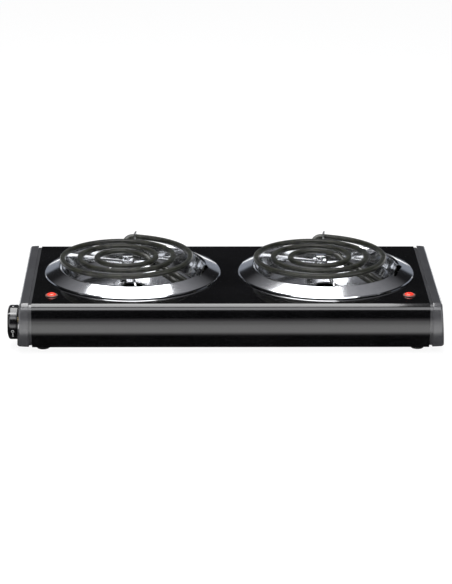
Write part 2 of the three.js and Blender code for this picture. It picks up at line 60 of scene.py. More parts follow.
GAP = 0.3 * MM
SIDES = ("left", "right")

Point2 = tuple[float, float]
Loop = list[Vector]
Piece = bpy.types.Object
Socket = bpy.types.NodeSocket

log = logging.getLogger("hot_plate")


# ---- curves and outlines ----
LEAST_MITRE = 0.2


def offset_run(points: Sequence[Point2], distance: float) -> list[Point2]:
    """Moves an open run of points to its left.

    Args:
        points: the run, in order.
        distance: how far to move it, negative for the right.

    Returns:
        The moved run, mitred at its corners.
    """
    moved = []
    last = len(points) - 1
    for i, point in enumerate(points):
        here = Vector(point)
        into = here - Vector(points[max(i - 1, 0)])
        out = Vector(points[min(i + 1, last)]) - here
        first = (into if into.length else out).normalized()
        second = (out if out.length else into).normalized()
        along = (first + second).normalized()
        reach = distance / max(along.dot(first), LEAST_MITRE)
        moved.append((here.x - along.y * reach, here.y + along.x * reach))
    return moved


def rounded_run(points: Sequence[Point2], radii: dict[int, float], steps: int = 8) -> list[Point2]:
    """Rounds chosen corners of a run.

    Args:
        points: the run, in order.
        radii: fillet radius of each corner to round, by its place in the run.
        steps: segments in each fillet.

    Returns:
        The run with an arc in place of each chosen corner.
    """
    made: list[Point2] = []
    for i, point in enumerate(points):
        if i not in radii:
            made.append(tuple(point))
            continue
        corner = Vector(point)
        back = (Vector(points[i - 1]) - corner).normalized()
        ahead = (Vector(points[i + 1]) - corner).normalized()
        half = back.angle(ahead) / 2
        reach = radii[i] / math.tan(half)
        centre = corner + (back + ahead).normalized() * (radii[i] / math.sin(half))
        start = corner + back * reach - centre
        sweep = math.pi - 2 * half
        turn = math.copysign(1, back.x * ahead.y - back.y * ahead.x)
        for k in range(steps + 1):
            a = -turn * sweep * k / steps
            c, s = math.cos(a), math.sin(a)
            made.append((centre.x + start.x * c - start.y * s, centre.y + start.x * s + start.y * c))
    return made


def smooth_path(points: Sequence[Vector], steps: int = 8) -> list[Vector]:
    """Runs a centripetal curve through points.

    Args:
        points: the points it passes through.
        steps: segments between two of them.

    Returns:
        Points along the curve.
    """
    ends = [2 * points[0] - points[1], *points, 2 * points[-1] - points[-2]]
    made = []
    for a, b, c, d in zip(ends, ends[1:], ends[2:], ends[3:]):
        t1 = math.sqrt((b - a).length)
        t2 = t1 + math.sqrt((c - b).length)
        t3 = t2 + math.sqrt((d - c).length)
        for k in range(steps):
            t = t1 + (t2 - t1) * k / steps
            ab = a.lerp(b, t / t1)
            bc = b.lerp(c, (t - t1) / (t2 - t1))
            cd = c.lerp(d, (t - t2) / (t3 - t2))
            abc = ab.lerp(bc, t / t2)
            bcd = bc.lerp(cd, (t - t1) / (t3 - t1))
            made.append(abc.lerp(bcd, (t - t1) / (t2 - t1)))
    return [*made, points[-1]]


# ---- meshes ----
SHARP_ANGLE = math.radians(32)
EASED_ANGLE = math.radians(35)
FACET_ANGLE = math.radians(1.5)
MERGE_DISTANCE = 1e-6
FACET_MERGE = 5e-6
MAP_LENGTH = 100 * MM


def finish_mesh(obj: Piece, recalculate: bool = True) -> Piece:
    """Merges doubles, turns the faces outwards and shades the mesh smooth up to its sharp edges."""
    work = bmesh.new()
    work.from_mesh(obj.data)
    bmesh.ops.remove_doubles(work, verts=work.verts, dist=MERGE_DISTANCE)
    bmesh.ops.dissolve_degenerate(work, edges=work.edges, dist=MERGE_DISTANCE)
    wires = [edge for edge in work.edges if not edge.link_faces]
    bmesh.ops.delete(work, geom=wires, context="EDGES")
    if recalculate:
        bmesh.ops.recalc_face_normals(work, faces=work.faces)
    work.to_mesh(obj.data)
    work.free()
    obj.data.shade_smooth()
    obj.data.set_sharp_from_angle(angle=SHARP_ANGLE)
    return obj


def added(name: str, data: bpy.types.ID) -> Piece:
    """Puts a new object with that data in the scene."""
    obj = bpy.data.objects.new(name, data)
    bpy.context.scene.collection.objects.link(obj)
    return obj


def mesh_object(name: str, points: Sequence, faces: Sequence = (), edges: Sequence = ()) -> Piece:
    """Makes an object in the scene from points, faces and loose edges."""
    mesh = bpy.data.meshes.new(name)
    mesh.from_pydata([tuple(p) for p in points], list(edges), [tuple(f) for f in faces])
    return added(name, mesh)


def lofted(name: str, loops: Sequence[Loop], capped: bool = True) -> Piece:
    """Joins closed loops of equally many points into a skin.

    Args:
        name: the object's name.
        loops: the loops, in order.
        capped: closes the first and the last loop with a face. Otherwise the last joins the first.

    Returns:
        The closed mesh object.
    """
    count = len(loops[0])
    points = [p for loop in loops for p in loop]
    faces = []
    spans = len(loops) - 1 if capped else len(loops)
    for i in range(spans):
        near, far = i * count, ((i + 1) % len(loops)) * count
        for j in range(count):
            k = (j + 1) % count
            faces.append((near + j, near + k, far + k, far + j))
    if capped:
        faces.append(tuple(range(count)))
        faces.append(tuple(len(points) - count + j for j in reversed(range(count))))
    return finish_mesh(mesh_object(name, points, faces))


def turned(name: str, profile: Sequence[Point2], place: Matrix, segments: int = 96) -> Piece:
    """Turns a closed profile about its own Z axis.

    Args:
        name: the object's name.
        profile: (radius, height) points around the section, not repeated at the end.
        place: where the turned piece's own axes stand.
        segments: steps around the axis.

    Returns:
        The mesh object, with a map whose U runs around and whose V runs along the section.
    """
    count = len(profile)
    points = []
    for i in range(segments):
        a = 2 * math.pi * i / segments
        points.extend(place @ Vector((r * math.cos(a), r * math.sin(a), z)) for r, z in profile)
    faces = []
    for i in range(segments):
        near, far = i * count, ((i + 1) % segments) * count
        for j in range(count):
            k = (j + 1) % count
            faces.append((near + j, far + j, far + k, near + k))
    obj = mesh_object(name, points, faces)
    lengths = [0.0]
    for a, b in zip(profile, [*profile[1:], profile[0]]):
        lengths.append(lengths[-1] + math.dist(a, b))
    chart = obj.data.uv_layers.new(name="around").data
    for face in range(len(faces)):
        i, j = divmod(face, count)
        corners = ((i, j), (i + 1, j), (i + 1, j + 1), (i, j + 1))
        for loop, (u, v) in zip(obj.data.polygons[face].loop_indices, corners):
            chart[loop].uv = (u / segments, lengths[v] / MAP_LENGTH)
    return finish_mesh(obj)


def block(name: str, low: Vector, high: Vector, place: Matrix = Matrix()) -> Piece:
    """Makes a box between two corners, then puts it in place."""
    loops = []
    for x in (low.x, high.x):
        section = ((low.y, low.z), (high.y, low.z), (high.y, high.z), (low.y, high.z))
        loops.append([place @ Vector((x, y, z)) for y, z in section])
    return lofted(name, loops)


def pillar(name: str, radius: float, low: float, high: float, place: Matrix, segments: int = 64) -> Piece:
    """Makes a plain round bar along the place's Z axis."""
    return turned(name, [(0, low), (radius, low), (radius, high), (0, high)], place, segments)


def settle(obj: Piece) -> Piece:
    """Turns an object's modifiers into its plain mesh."""
    graph = bpy.context.evaluated_depsgraph_get()
    made = bpy.data.meshes.new_from_object(obj.evaluated_get(graph), depsgraph=graph)
    obj.modifiers.clear()
    old = obj.data
    obj.data = made
    made.name = obj.name
    if old.users == 0:
        bpy.data.meshes.remove(old)
    return obj


def softened(obj: Piece, width: float, segments: int) -> Piece:
    """Rounds an object's sharp edges."""
    easing = obj.modifiers.new("easing", "BEVEL")
    easing.width = width
    easing.segments = segments
    easing.limit_method = "ANGLE"
    easing.angle_limit = EASED_ANGLE
    return settle(obj)


def carved(obj: Piece, tools: Sequence[Piece], how: str = "DIFFERENCE"):
    """Cuts an object with tools, or joins them to it, and removes the tools.

    Args:
        obj: the object to change.
        tools: closed meshes that don't touch each other.
        how: the boolean's operation.

    Returns:
        The changed object.
    """
    for tool in tools:
        change = obj.modifiers.new("carve", "BOOLEAN")
        change.operation = how
        change.solver = "EXACT"
        change.object = tool
    settle(obj)
    for tool in tools:
        bpy.data.objects.remove(tool)
    return finish_mesh(obj, recalculate=False)


def eased_copy(name: str, node: str, width: float, segments: int = 3) -> Piece:
    """Copies a frame node, merges its facets and rounds its sharp edges.

    Args:
        name: the new object's name.
        node: the node to copy.
        width: how far each rounding reaches.
        segments: steps in each rounding.

    Returns:
        The rounded copy.
    """
    obj = added(name, frame["nodes"][node].data.copy())
    obj.data.materials.clear()
    work = bmesh.new()
    work.from_mesh(obj.data)
    bmesh.ops.remove_doubles(work, verts=work.verts, dist=FACET_MERGE)
    bmesh.ops.dissolve_limit(work, angle_limit=FACET_ANGLE, verts=work.verts, edges=work.edges)
    work.to_mesh(obj.data)
    work.free()
    return finish_mesh(softened(obj, width, segments), recalculate=False)


def centre_of(node: str) -> Vector:
    """The middle of a frame node's box."""
    return sum(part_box(node), Vector()) / 2


def stood(spot: Sequence[float], angle: float = 0.0, axis: str = "Z") -> Matrix:
    """A place at a spot, turned about one axis."""
    return Matrix.Translation(spot) @ Matrix.Rotation(angle, 4, axis)


# ---- geometry node trees ----
def wired(tree: bpy.types.NodeTree, kind: str, links: dict | None, settings: dict) -> bpy.types.Node:
    """Adds a node to a tree.

    Args:
        tree: the tree.
        kind: the node's full type.
        links: what feeds each input, by name or number: a socket, a node for its first output,
            or a plain value.
        settings: the node's own options, which are set first.

    Returns:
        The new node.
    """
    made = tree.nodes.new(kind)
    for key, value in settings.items():
        setattr(made, key, value)
    for key, value in (links or {}).items():
        if isinstance(value, bpy.types.Node):
            value = value.outputs[0]
        if isinstance(value, Socket):
            tree.links.new(value, made.inputs[key])
        else:
            made.inputs[key].default_value = value
    return made


class PieceTree:
    """A geometry node tree that ends in Realize Instances and Set Material."""

    def __init__(self, name: str, inputs: Sequence[tuple[str, str, object]]) -> None:
        """Args:
            name: the tree's name.
            inputs: name, socket type and value of each size that the tree takes.
        """
        self.group = bpy.data.node_groups.new(name, "GeometryNodeTree")
        face = self.group.interface
        face.new_socket("Geometry", in_out="INPUT", socket_type="NodeSocketGeometry")
        face.new_socket("Geometry", in_out="OUTPUT", socket_type="NodeSocketGeometry")
        self.values = {}
        for label, kind, value in [*inputs, ("Finish", "NodeSocketMaterial", None)]:
            socket = face.new_socket(label, in_out="INPUT", socket_type=kind)
            self.values[label] = (socket.identifier, value)
        self.inputs = self.group.nodes.new("NodeGroupInput")
        self.output = self.group.nodes.new("NodeGroupOutput")

    def node(self, kind: str, links: dict | None = None, **settings) -> bpy.types.Node:
        """Adds a node. The type of a geometry node is given without its prefix."""
        prefix = "" if kind.startswith(("Shader", "Function")) else "GeometryNode"
        return wired(self.group, prefix + kind, links, settings)

    def socket(self, label: str) -> Socket:
        """The tree's own input of that name."""
        return self.inputs.outputs[label]

    def close(self, geometry: bpy.types.Node) -> None:
        """Ends the tree on a node's geometry."""
        real = self.node("RealizeInstances", {"Geometry": geometry})
        dressed = self.node("SetMaterial", {"Geometry": real, "Material": self.socket("Finish")})
        self.group.links.new(dressed.outputs[0], self.output.inputs[0])

    def run(self, obj: Piece, finish: bpy.types.Material, **values) -> Piece:
        """Runs the tree on an object and keeps the result as its plain mesh.

        Args:
            obj: the object whose mesh the tree starts from.
            finish: the material that it sets.
            values: sizes that differ from the tree's own, with spaces as underscores.

        Returns:
            The object.
        """
        change = obj.modifiers.new(self.group.name, "NODES")
        change.node_group = self.group
        for label, (identifier, value) in self.values.items():
            given = values.get(label.replace(" ", "_"), value)
            change[identifier] = finish if label == "Finish" else given
        settle(obj)
        return finish_mesh(obj, recalculate=False)


@cache
def swept_tube_tree() -> PieceTree:
    """A round tube along a chain of edges, cut flat above a height."""
    tree = PieceTree("swept_tube", [
        ("Radius", "NodeSocketFloat", 3.5 * MM),
        ("Step", "NodeSocketFloat", 2.2 * MM),
        ("Sides", "NodeSocketInt", 20),
        ("Flat Height", "NodeSocketFloat", 1.0),
    ])
    line = tree.node("MeshToCurve", {"Mesh": tree.socket("Geometry")})
    spans = {"Curve": line, "Length": tree.socket("Step")}
    even = tree.node("ResampleCurve", spans, mode="LENGTH")
    ring = tree.node("CurvePrimitiveCircle", {
        "Resolution": tree.socket("Sides"), "Radius": tree.socket("Radius"),
    })
    skin = tree.node("CurveToMesh", {
        "Curve": even, "Profile Curve": ring, "Fill Caps": True,
    })
    here = tree.node("InputPosition")
    parts = tree.node("ShaderNodeSeparateXYZ", {0: here})
    level = tree.node("ShaderNodeMath", {0: parts.outputs[2], 1: tree.socket("Flat Height")},
                      operation="MINIMUM")
    moved = tree.node("ShaderNodeCombineXYZ", {
        0: parts, 1: parts.outputs[1], 2: level,
    })
    pressed = tree.node("SetPosition", {"Geometry": skin, "Position": moved})
    tree.close(pressed)
    return tree


@cache
def fixing_tree() -> PieceTree:
    """A screw at each point, each turned by its own amount about Z."""
    tree = PieceTree("fixings", [
        ("Screw", "NodeSocketObject", None),
        ("Seed", "NodeSocketInt", 7),
    ])
    screw = tree.node("ObjectInfo", {"Object": tree.socket("Screw"), "As Instance": True})
    turn = tree.node("FunctionNodeRandomValue", {"Seed": tree.socket("Seed")}, data_type="FLOAT_VECTOR")
    turn.inputs[0].default_value = (0, 0, 0)
    turn.inputs[1].default_value = (0, 0, 2 * math.pi)
    dots = tree.node("MeshToPoints", {"Mesh": tree.socket("Geometry")})
    set_out = tree.node("InstanceOnPoints", {
        "Points": dots, "Instance": screw.outputs["Geometry"], "Rotation": turn,
    })
    tree.close(set_out)
    return tree


@cache
def cooling_slot_tree() -> PieceTree:
    """Two rows of round-ended slots under each burner, cut through a plate."""
    tree = PieceTree("cooling_slots", [
        ("Length", "NodeSocketFloat", 46 * MM),
        ("Width", "NodeSocketFloat", 4 * MM),
        ("Count", "NodeSocketInt", 5),
        ("Across", "NodeSocketFloat", 56 * MM),
        ("Rows Apart", "NodeSocketFloat", 69 * MM),
        ("Spread", "NodeSocketFloat", 117.6 * MM),
        ("Middle", "NodeSocketVector", (0.0, 0.0, 0.0)),
    ])
    outline = tree.node("CurvePrimitiveQuadrilateral", {
        "Width": tree.socket("Width"), "Height": tree.socket("Length"),
    })
    half = tree.node("ShaderNodeMath", {0: tree.socket("Width"), 1: 0.49}, operation="MULTIPLY")
    soft = tree.node("FilletCurve", {"Curve": outline, "Radius": half, "Count": 5},
                     mode="POLY")
    rise = tree.node("CurvePrimitiveLine", {"Start": (0, 0, -5 * MM), "End": (0, 0, 5 * MM)})
    cutter = tree.node("CurveToMesh", {
        "Curve": rise, "Profile Curve": soft, "Fill Caps": True,
    })
    grid = tree.node("MeshGrid", {
        "Size X": tree.socket("Across"), "Size Y": tree.socket("Rows Apart"),
        "Vertices X": tree.socket("Count"), "Vertices Y": 2,
    })
    both = tree.node("JoinGeometry")
    for side in (-1, 1):
        away = tree.node("ShaderNodeMath", {0: tree.socket("Spread"), 1: float(side)}, operation="MULTIPLY")
        shift = tree.node("ShaderNodeCombineXYZ", {0: away})
        whole = tree.node("ShaderNodeVectorMath", {0: shift, 1: tree.socket("Middle")})
        put = tree.node("Transform", {"Geometry": grid, "Translation": whole})
        tree.group.links.new(put.outputs[0], both.inputs[0])
    cutters = tree.node("InstanceOnPoints", {"Points": both, "Instance": cutter})
    solid = tree.node("RealizeInstances", {"Geometry": cutters})
    pierced = tree.node("MeshBoolean", operation="DIFFERENCE")
    tree.group.links.new(tree.socket("Geometry"), pierced.inputs[0])
    tree.group.links.new(solid.outputs[0], pierced.inputs[1])
    tree.close(pierced)
    return tree


# ---- finishes ----
class Relief(Enum):
    """The fine shape that a finish has under the hand."""

    ENAMEL = "orange_peel"
    MOULDED = "moulded_grain"
    DRAWN = "drawn_rings"
    PLATED = "plated_steel"
    SCALED = "oxide_scale"
    WOVEN = "woven_sleeve"


class NodeBoard:
    """Adds and joins the nodes of a material or a shader group."""

    def __init__(self, tree: bpy.types.NodeTree) -> None:
        """Works on that node tree."""
        self.tree = tree

    def node(self, kind: str, links: dict | None = None, **settings) -> bpy.types.Node:
        """Adds a shader node, whose type is given without its prefix."""
        return wired(self.tree, "ShaderNode" + kind, links, settings)

    def maths(self, how: str, *values) -> Socket:
        """The result of a Math node on sockets or numbers."""
        return self.node("Math", dict(enumerate(values)), operation=how).outputs[0]

    def product(self, *values) -> Socket:
        """The product of two or more sockets or numbers."""
        return reduce(lambda a, b: self.maths("MULTIPLY", a, b), values)

    def scaled(self, place: Socket, by: tuple[float, float, float]) -> Socket:
        """A place stretched along its axes."""
        return self.node("VectorMath", {0: place, 1: by}, operation="MULTIPLY").outputs[0]

    def noise(self, place: Socket, scale, detail: float, distortion: float = 0.0) -> Socket:
        """A noise texture's value."""
        links = {"Vector": place, "Scale": scale, "Detail": detail, "Distortion": distortion}
        return self.node("TexNoise", links).outputs[0]

    def ranged(self, value: Socket, low: float, high: float, to_low=0.0, to_high=1.0, **settings) -> Socket:
        """A value taken from one range to another, which is 0 to 1 unless given."""
        links = {"Value": value, "From Min": low, "From Max": high, "To Min": to_low, "To Max": to_high}
        return self.node("MapRange", links, **settings).outputs[0]

    def blended(self, share, a, b) -> Socket:
        """A colour between two others."""
        return self.node("Mix", {0: share, 6: a, 7: b}, data_type="RGBA").outputs[2]


def effect_group(name: str, inputs: Sequence[tuple[str, str]], output: tuple[str, str]):
    """Starts a shader group.

    Args:
        name: the group's name.
        inputs: name and kind of each input.
        output: name and kind of what it puts out.

    Returns:
        The group's board, the sockets of its inputs and a function that ends it on a socket.
    """
    group = bpy.data.node_groups.new(name, "ShaderNodeTree")
    for label, kind in inputs:
        group.interface.new_socket(label, in_out="INPUT", socket_type="NodeSocket" + kind)
    group.interface.new_socket(output[0], in_out="OUTPUT", socket_type="NodeSocket" + output[1])
    board = NodeBoard(group)
    source = group.nodes.new("NodeGroupInput")
    drain = group.nodes.new("NodeGroupOutput")

    def close(socket: Socket) -> bpy.types.NodeTree:
        """Ends the group."""
        group.links.new(socket, drain.inputs[0])
        return group

    return board, source.outputs, close


@cache
def tone_group() -> bpy.types.NodeTree:
    """Colour that drifts between two tones in soft clouds, with finer mottling over it."""
    board, given, close = effect_group(
        "tone_drift",
        [("Place", "Vector"), ("Scale", "Float"), ("Dark", "Color"), ("Light", "Color")],
        ("Colour", "Color"),
    )
    place, scale = given["Place"], given["Scale"]
    fine = board.noise(place, board.maths("MULTIPLY", scale, 9.0), 6.0)
    mottle = board.maths("MULTIPLY_ADD", fine, 0.45, -0.22)
    total = board.maths("ADD", board.noise(place, scale, 3.0), mottle)
    return close(board.blended(board.ranged(total, 0.32, 0.68), given["Dark"], given["Light"]))


@cache
def polish_group() -> bpy.types.NodeTree:
    """Roughness that drifts between two values, with faint wiped streaks."""
    board, given, close = effect_group(
        "polish_drift",
        [("Place", "Vector"), ("Scale", "Float"), ("Low", "Float"), ("High", "Float")],
        ("Roughness", "Float"),
    )
    wiped = board.noise(board.scaled(given["Place"], (0.35, 1.0, 1.0)), given["Scale"], 5.0, 0.6)
    return close(board.ranged(wiped, 0.3, 0.7, given["Low"], given["High"]))


@cache
def dust_group() -> bpy.types.NodeTree:
    """A mask of sparse settled specks, strongest on faces that look up."""
    board, given, close = effect_group(
        "settled_dust", [("Place", "Vector"), ("Scale", "Float"), ("Amount", "Float")], ("Mask", "Float"),
    )
    specks = board.node("TexVoronoi", {"Vector": given["Place"], "Scale": given["Scale"]})
    near = board.ranged(specks.outputs["Distance"], 0.16, 0.04)
    film = board.ranged(board.noise(given["Place"], 14.0, 2.0), 0.5, 0.8)
    facing = board.node("SeparateXYZ", {0: board.node("NewGeometry").outputs["Normal"]})
    up = board.maths("MAXIMUM", facing.outputs[2], 0.0)
    return close(board.product(near, film, up, given["Amount"]))


@cache
def relief_group(relief: Relief) -> bpy.types.NodeTree:
    """The height of a finish's fine relief, 0 to 1.

    Args:
        relief: which relief.

    Returns:
        A group with a place and a scale in, and a height out.
    """
    board, given, close = effect_group(
        relief.value, [("Place", "Vector"), ("Scale", "Float")], ("Height", "Float"),
    )
    place, scale = given["Place"], given["Scale"]

    if relief is Relief.ENAMEL:
        height = board.noise(place, scale, 2.0)
    elif relief is Relief.MOULDED:
        cells = board.node("TexVoronoi", {"Vector": place, "Scale": scale}, feature="SMOOTH_F1")
        fine = board.noise(place, board.product(scale, 2.3), 3.0)
        height = board.maths("ADD", cells.outputs["Distance"], board.product(fine, 0.5))
    elif relief is Relief.DRAWN:
        rings = board.noise(board.scaled(place, (1.0, 90.0, 1.0)), scale, 4.0)
        dents = board.noise(place, board.product(scale, 4.0), 2.0)
        height = board.maths("ADD", board.product(rings, 0.6), board.product(dents, 0.4))
    elif relief is Relief.PLATED:
        drawn = board.noise(board.scaled(place, (1.0, 14.0, 14.0)), scale, 5.0)
        height = board.maths("ADD", drawn, board.product(board.noise(place, scale, 2.0), 0.6))
    elif relief is Relief.SCALED:
        flakes = board.node("TexVoronoi", {"Vector": place, "Scale": scale})
        height = board.maths("ADD", flakes.outputs["Distance"], board.noise(place, scale, 8.0))
    else:
        strands = [
            board.node("TexWave", {"Vector": lay, "Scale": scale}, bands_direction="DIAGONAL").outputs["Fac"]
            for lay in (place, board.scaled(place, (-1.0, 1.0, 1.0)))
        ]
        height = board.maths("MAXIMUM", *strands)
    return close(height)


DUST_SCALE = 900.0
DUST_TONE = (0.5, 0.48, 0.44, 1.0)


@dataclass(frozen=True)
class Finish:
    """A finish made of drifting tone, drifting polish and a fine relief.

    Scales are in cells per metre, or per map length for a drawn relief.
    """

    name: str
    slot: str
    dark: tuple[float, float, float]
    light: tuple[float, float, float]
    rough: tuple[float, float]
    relief: Relief
    relief_scale: float
    relief_depth: float
    tone_scale: float = 22.0
    polish_scale: float = 16.0
    metallic: float = 0.0
    specular: float = 0.5
    coat: float = 0.0
    coat_rough: float = 0.04
    dust: float = 0.0
    glow: float = 0.0

    def material(self) -> bpy.types.Material:
        """Builds the material, or finds it if it is there already."""
        found = bpy.data.materials.get(self.name)
        return found or self._build()

    def _build(self) -> bpy.types.Material:
        """Joins the groups to a Principled shader."""
        made = bpy.data.materials.new(self.name)
        made.use_nodes = True
        made.node_tree.nodes.clear()
        made.diffuse_color = (*self.light, 1.0)
        board = NodeBoard(made.node_tree)
        where = board.node("TexCoord")
        place = where.outputs["Object"]
        chart = where.outputs["UV"] if self.relief is Relief.DRAWN else place

        def effect(group: bpy.types.NodeTree, **values) -> Socket:
            """Places a group with its own values."""
            return board.node("Group", values, node_tree=group).outputs[0]

        tone = effect(tone_group(), Place=place, Scale=self.tone_scale,
                      Dark=(*self.dark, 1.0), Light=(*self.light, 1.0))
        if self.dust:
            specks = effect(dust_group(), Place=place, Scale=DUST_SCALE, Amount=self.dust)
            tone = board.blended(specks, tone, DUST_TONE)
        polish = effect(polish_group(), Place=place, Scale=self.polish_scale,
                        Low=self.rough[0], High=self.rough[1])
        height = effect(relief_group(self.relief), Place=chart, Scale=self.relief_scale)
        bump = board.node("Bump", {"Height": height, "Distance": self.relief_depth, "Strength": 1.0})
        sockets = {
            "Base Color": tone, "Roughness": polish, "Normal": bump, "Metallic": self.metallic,
            "Specular IOR Level": self.specular, "Coat Weight": self.coat, "Coat Roughness": self.coat_rough,
        }
        if self.glow:
            sockets |= {"Emission Color": tone, "Emission Strength": self.glow}
        surface = board.node("BsdfPrincipled", sockets)
        board.node("OutputMaterial", {"Surface": surface})
        return made


ENAMEL = Finish("black_stove_enamel", "black_enamel", (0.0016, 0.0016, 0.0018), (0.003, 0.003, 0.0033),
                (0.07, 0.12), Relief.ENAMEL, 420.0, 0.006 * MM, coat=0.5, coat_rough=0.04, dust=0.04)
CAP_MOULDING = Finish("black_cap_moulding", "cap_plastic", (0.036, 0.036, 0.039), (0.05, 0.05, 0.053),
                      (0.34, 0.42), Relief.MOULDED, 1700.0, 0.02 * MM, coat=1.0, coat_rough=0.05, dust=0.10)
DIAL_MOULDING = Finish("gloss_dial_moulding", "dial_plastic", (0.0035, 0.0035, 0.004),
                       (0.006, 0.006, 0.0065), (0.12, 0.2), Relief.ENAMEL, 700.0, 0.006 * MM, coat=0.5)
PAN_CHROME = Finish("drawn_chrome", "pan_chrome", (0.70, 0.71, 0.73), (0.82, 0.83, 0.85),
                    (0.08, 0.15), Relief.DRAWN, 6.0, 0.004 * MM, metallic=1.0, tone_scale=14.0)
ARM_CHROME = Finish("blade_chrome", "support_chrome", (0.66, 0.67, 0.69), (0.80, 0.81, 0.83),
                    (0.10, 0.22), Relief.PLATED, 300.0, 0.01 * MM, metallic=1.0)
SHEATH = Finish("fired_coil_sheath", "coil_sheath", (0.003, 0.0032, 0.0018), (0.02, 0.021, 0.013),
                (0.34, 0.5), Relief.SCALED, 700.0, 0.09 * MM, tone_scale=110.0, polish_scale=90.0,
                specular=0.35, coat=0.3, coat_rough=0.16)
ZINC = Finish("zinc_plate", "zinc_steel", (0.42, 0.43, 0.43), (0.62, 0.62, 0.6),
              (0.28, 0.42), Relief.PLATED, 500.0, 0.02 * MM, metallic=1.0)
RUBBER = Finish("foot_rubber", "foot_rubber", (0.012, 0.012, 0.012), (0.022, 0.022, 0.021),
                (0.68, 0.82), Relief.MOULDED, 2600.0, 0.04 * MM, specular=0.35, dust=0.3)
STEATITE = Finish("glazed_steatite", "steatite", (0.62, 0.58, 0.48), (0.76, 0.73, 0.64),
                  (0.34, 0.5), Relief.MOULDED, 1500.0, 0.03 * MM)
PRINT = Finish("white_pad_print", "pale_nylon", (0.34, 0.34, 0.34), (0.46, 0.46, 0.45),
               (0.5, 0.6), Relief.MOULDED, 3000.0, 0.01 * MM)
RED_LENS = Finish("red_lamp_lens", "red_lens", (0.5, 0.01, 0.005), (0.9, 0.06, 0.03),
                  (0.22, 0.3), Relief.ENAMEL, 500.0, 0.01 * MM, tone_scale=150.0, coat=0.1, glow=0.5)
LAMP_RING = Finish("rosy_lamp_ring", "pale_nylon", (0.16, 0.07, 0.06), (0.26, 0.13, 0.11),
                   (0.3, 0.4), Relief.MOULDED, 2200.0, 0.015 * MM)
NEON_GLASS = Finish("neon_bulb_glass", "neon_glass", (0.6, 0.42, 0.34), (0.8, 0.66, 0.58),
                    (0.05, 0.1), Relief.ENAMEL, 300.0, 0.01 * MM, coat=1.0)
PHENOLIC = Finish("brown_phenolic", "phenolic", (0.018, 0.010, 0.007), (0.05, 0.028, 0.02),
                  (0.36, 0.5), Relief.MOULDED, 1300.0, 0.03 * MM, tone_scale=120.0)
BRASS = Finish("turned_brass", "brass", (0.6, 0.44, 0.18), (0.78, 0.62, 0.32),
               (0.2, 0.34), Relief.PLATED, 700.0, 0.015 * MM, metallic=1.0)
SLEEVING = Finish("glass_sleeving", "glass_sleeving", (0.5, 0.47, 0.4), (0.72, 0.69, 0.62),
                  (0.7, 0.85), Relief.WOVEN, 420.0, 0.12 * MM)


def installed(piece: Piece, body: str, finish: Finish, *nodes: str) -> Piece:
    """Dresses a piece, puts it on its body and hides what it stands for.

    Args:
        piece: the finished mesh, in place.
        body: the body that it moves with.
        finish: its finish.
        nodes: the frame nodes that it stands for.

    Returns:
        The piece.
    """
    piece.data.materials.clear()
    piece.data.materials.append(finish.material())
    for face in piece.data.polygons:
        face.material_index = 0
    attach(piece, body)
    if nodes:
        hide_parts(*nodes)
    log.info("%s on %s: %d faces, %s", piece.name, body, len(piece.data.polygons), finish.name)
    return piece


# ---- housing ----
@dataclass(frozen=True)
class Section:
    """The housing's section across X: a flat top that bends into swelling front and back walls."""

    half_flat: float
    middle: float
    top: float
    skirt: float
    bulge: float = 12 * MM
    full_height: float = 30 * MM
    lower_fall: float = 24 * MM
    bend_steps: int = 44
    fall_steps: int = 16

    def line(self, low_edge: float) -> list[Point2]:
        """The outer line as (y, z), from the front lower edge over to the back one.

        Args:
            low_edge: height at which it starts and ends.

        Returns:
            The points, left of which is the outside.
        """
        rise = self.top - self.full_height
        lowest = math.asin((low_edge - self.full_height) / self.lower_fall)
        arcs = [(lowest * (1 - i / self.fall_steps), self.lower_fall) for i in range(self.fall_steps + 1)]
        arcs += [(i / self.bend_steps * math.pi / 2, rise) for i in range(1, self.bend_steps + 1)]
        half = [
            (self.half_flat + self.bulge * math.cos(a), self.full_height + fall * math.sin(a))
            for a, fall in arcs
        ]
        half.append((self.half_flat - 0.5 * MM, self.top))
        front = [(self.middle - y, z) for y, z in half]
        back = [(self.middle + y, z) for y, z in reversed(half)]
        return [*front, *back]


def section_of_housing() -> Section:
    """Reads the housing's section from the frame."""
    low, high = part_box("body_shell")
    bulge = Section.bulge
    return Section((high.y - low.y) / 2 - bulge, (high.y + low.y) / 2, high.z, low.z)


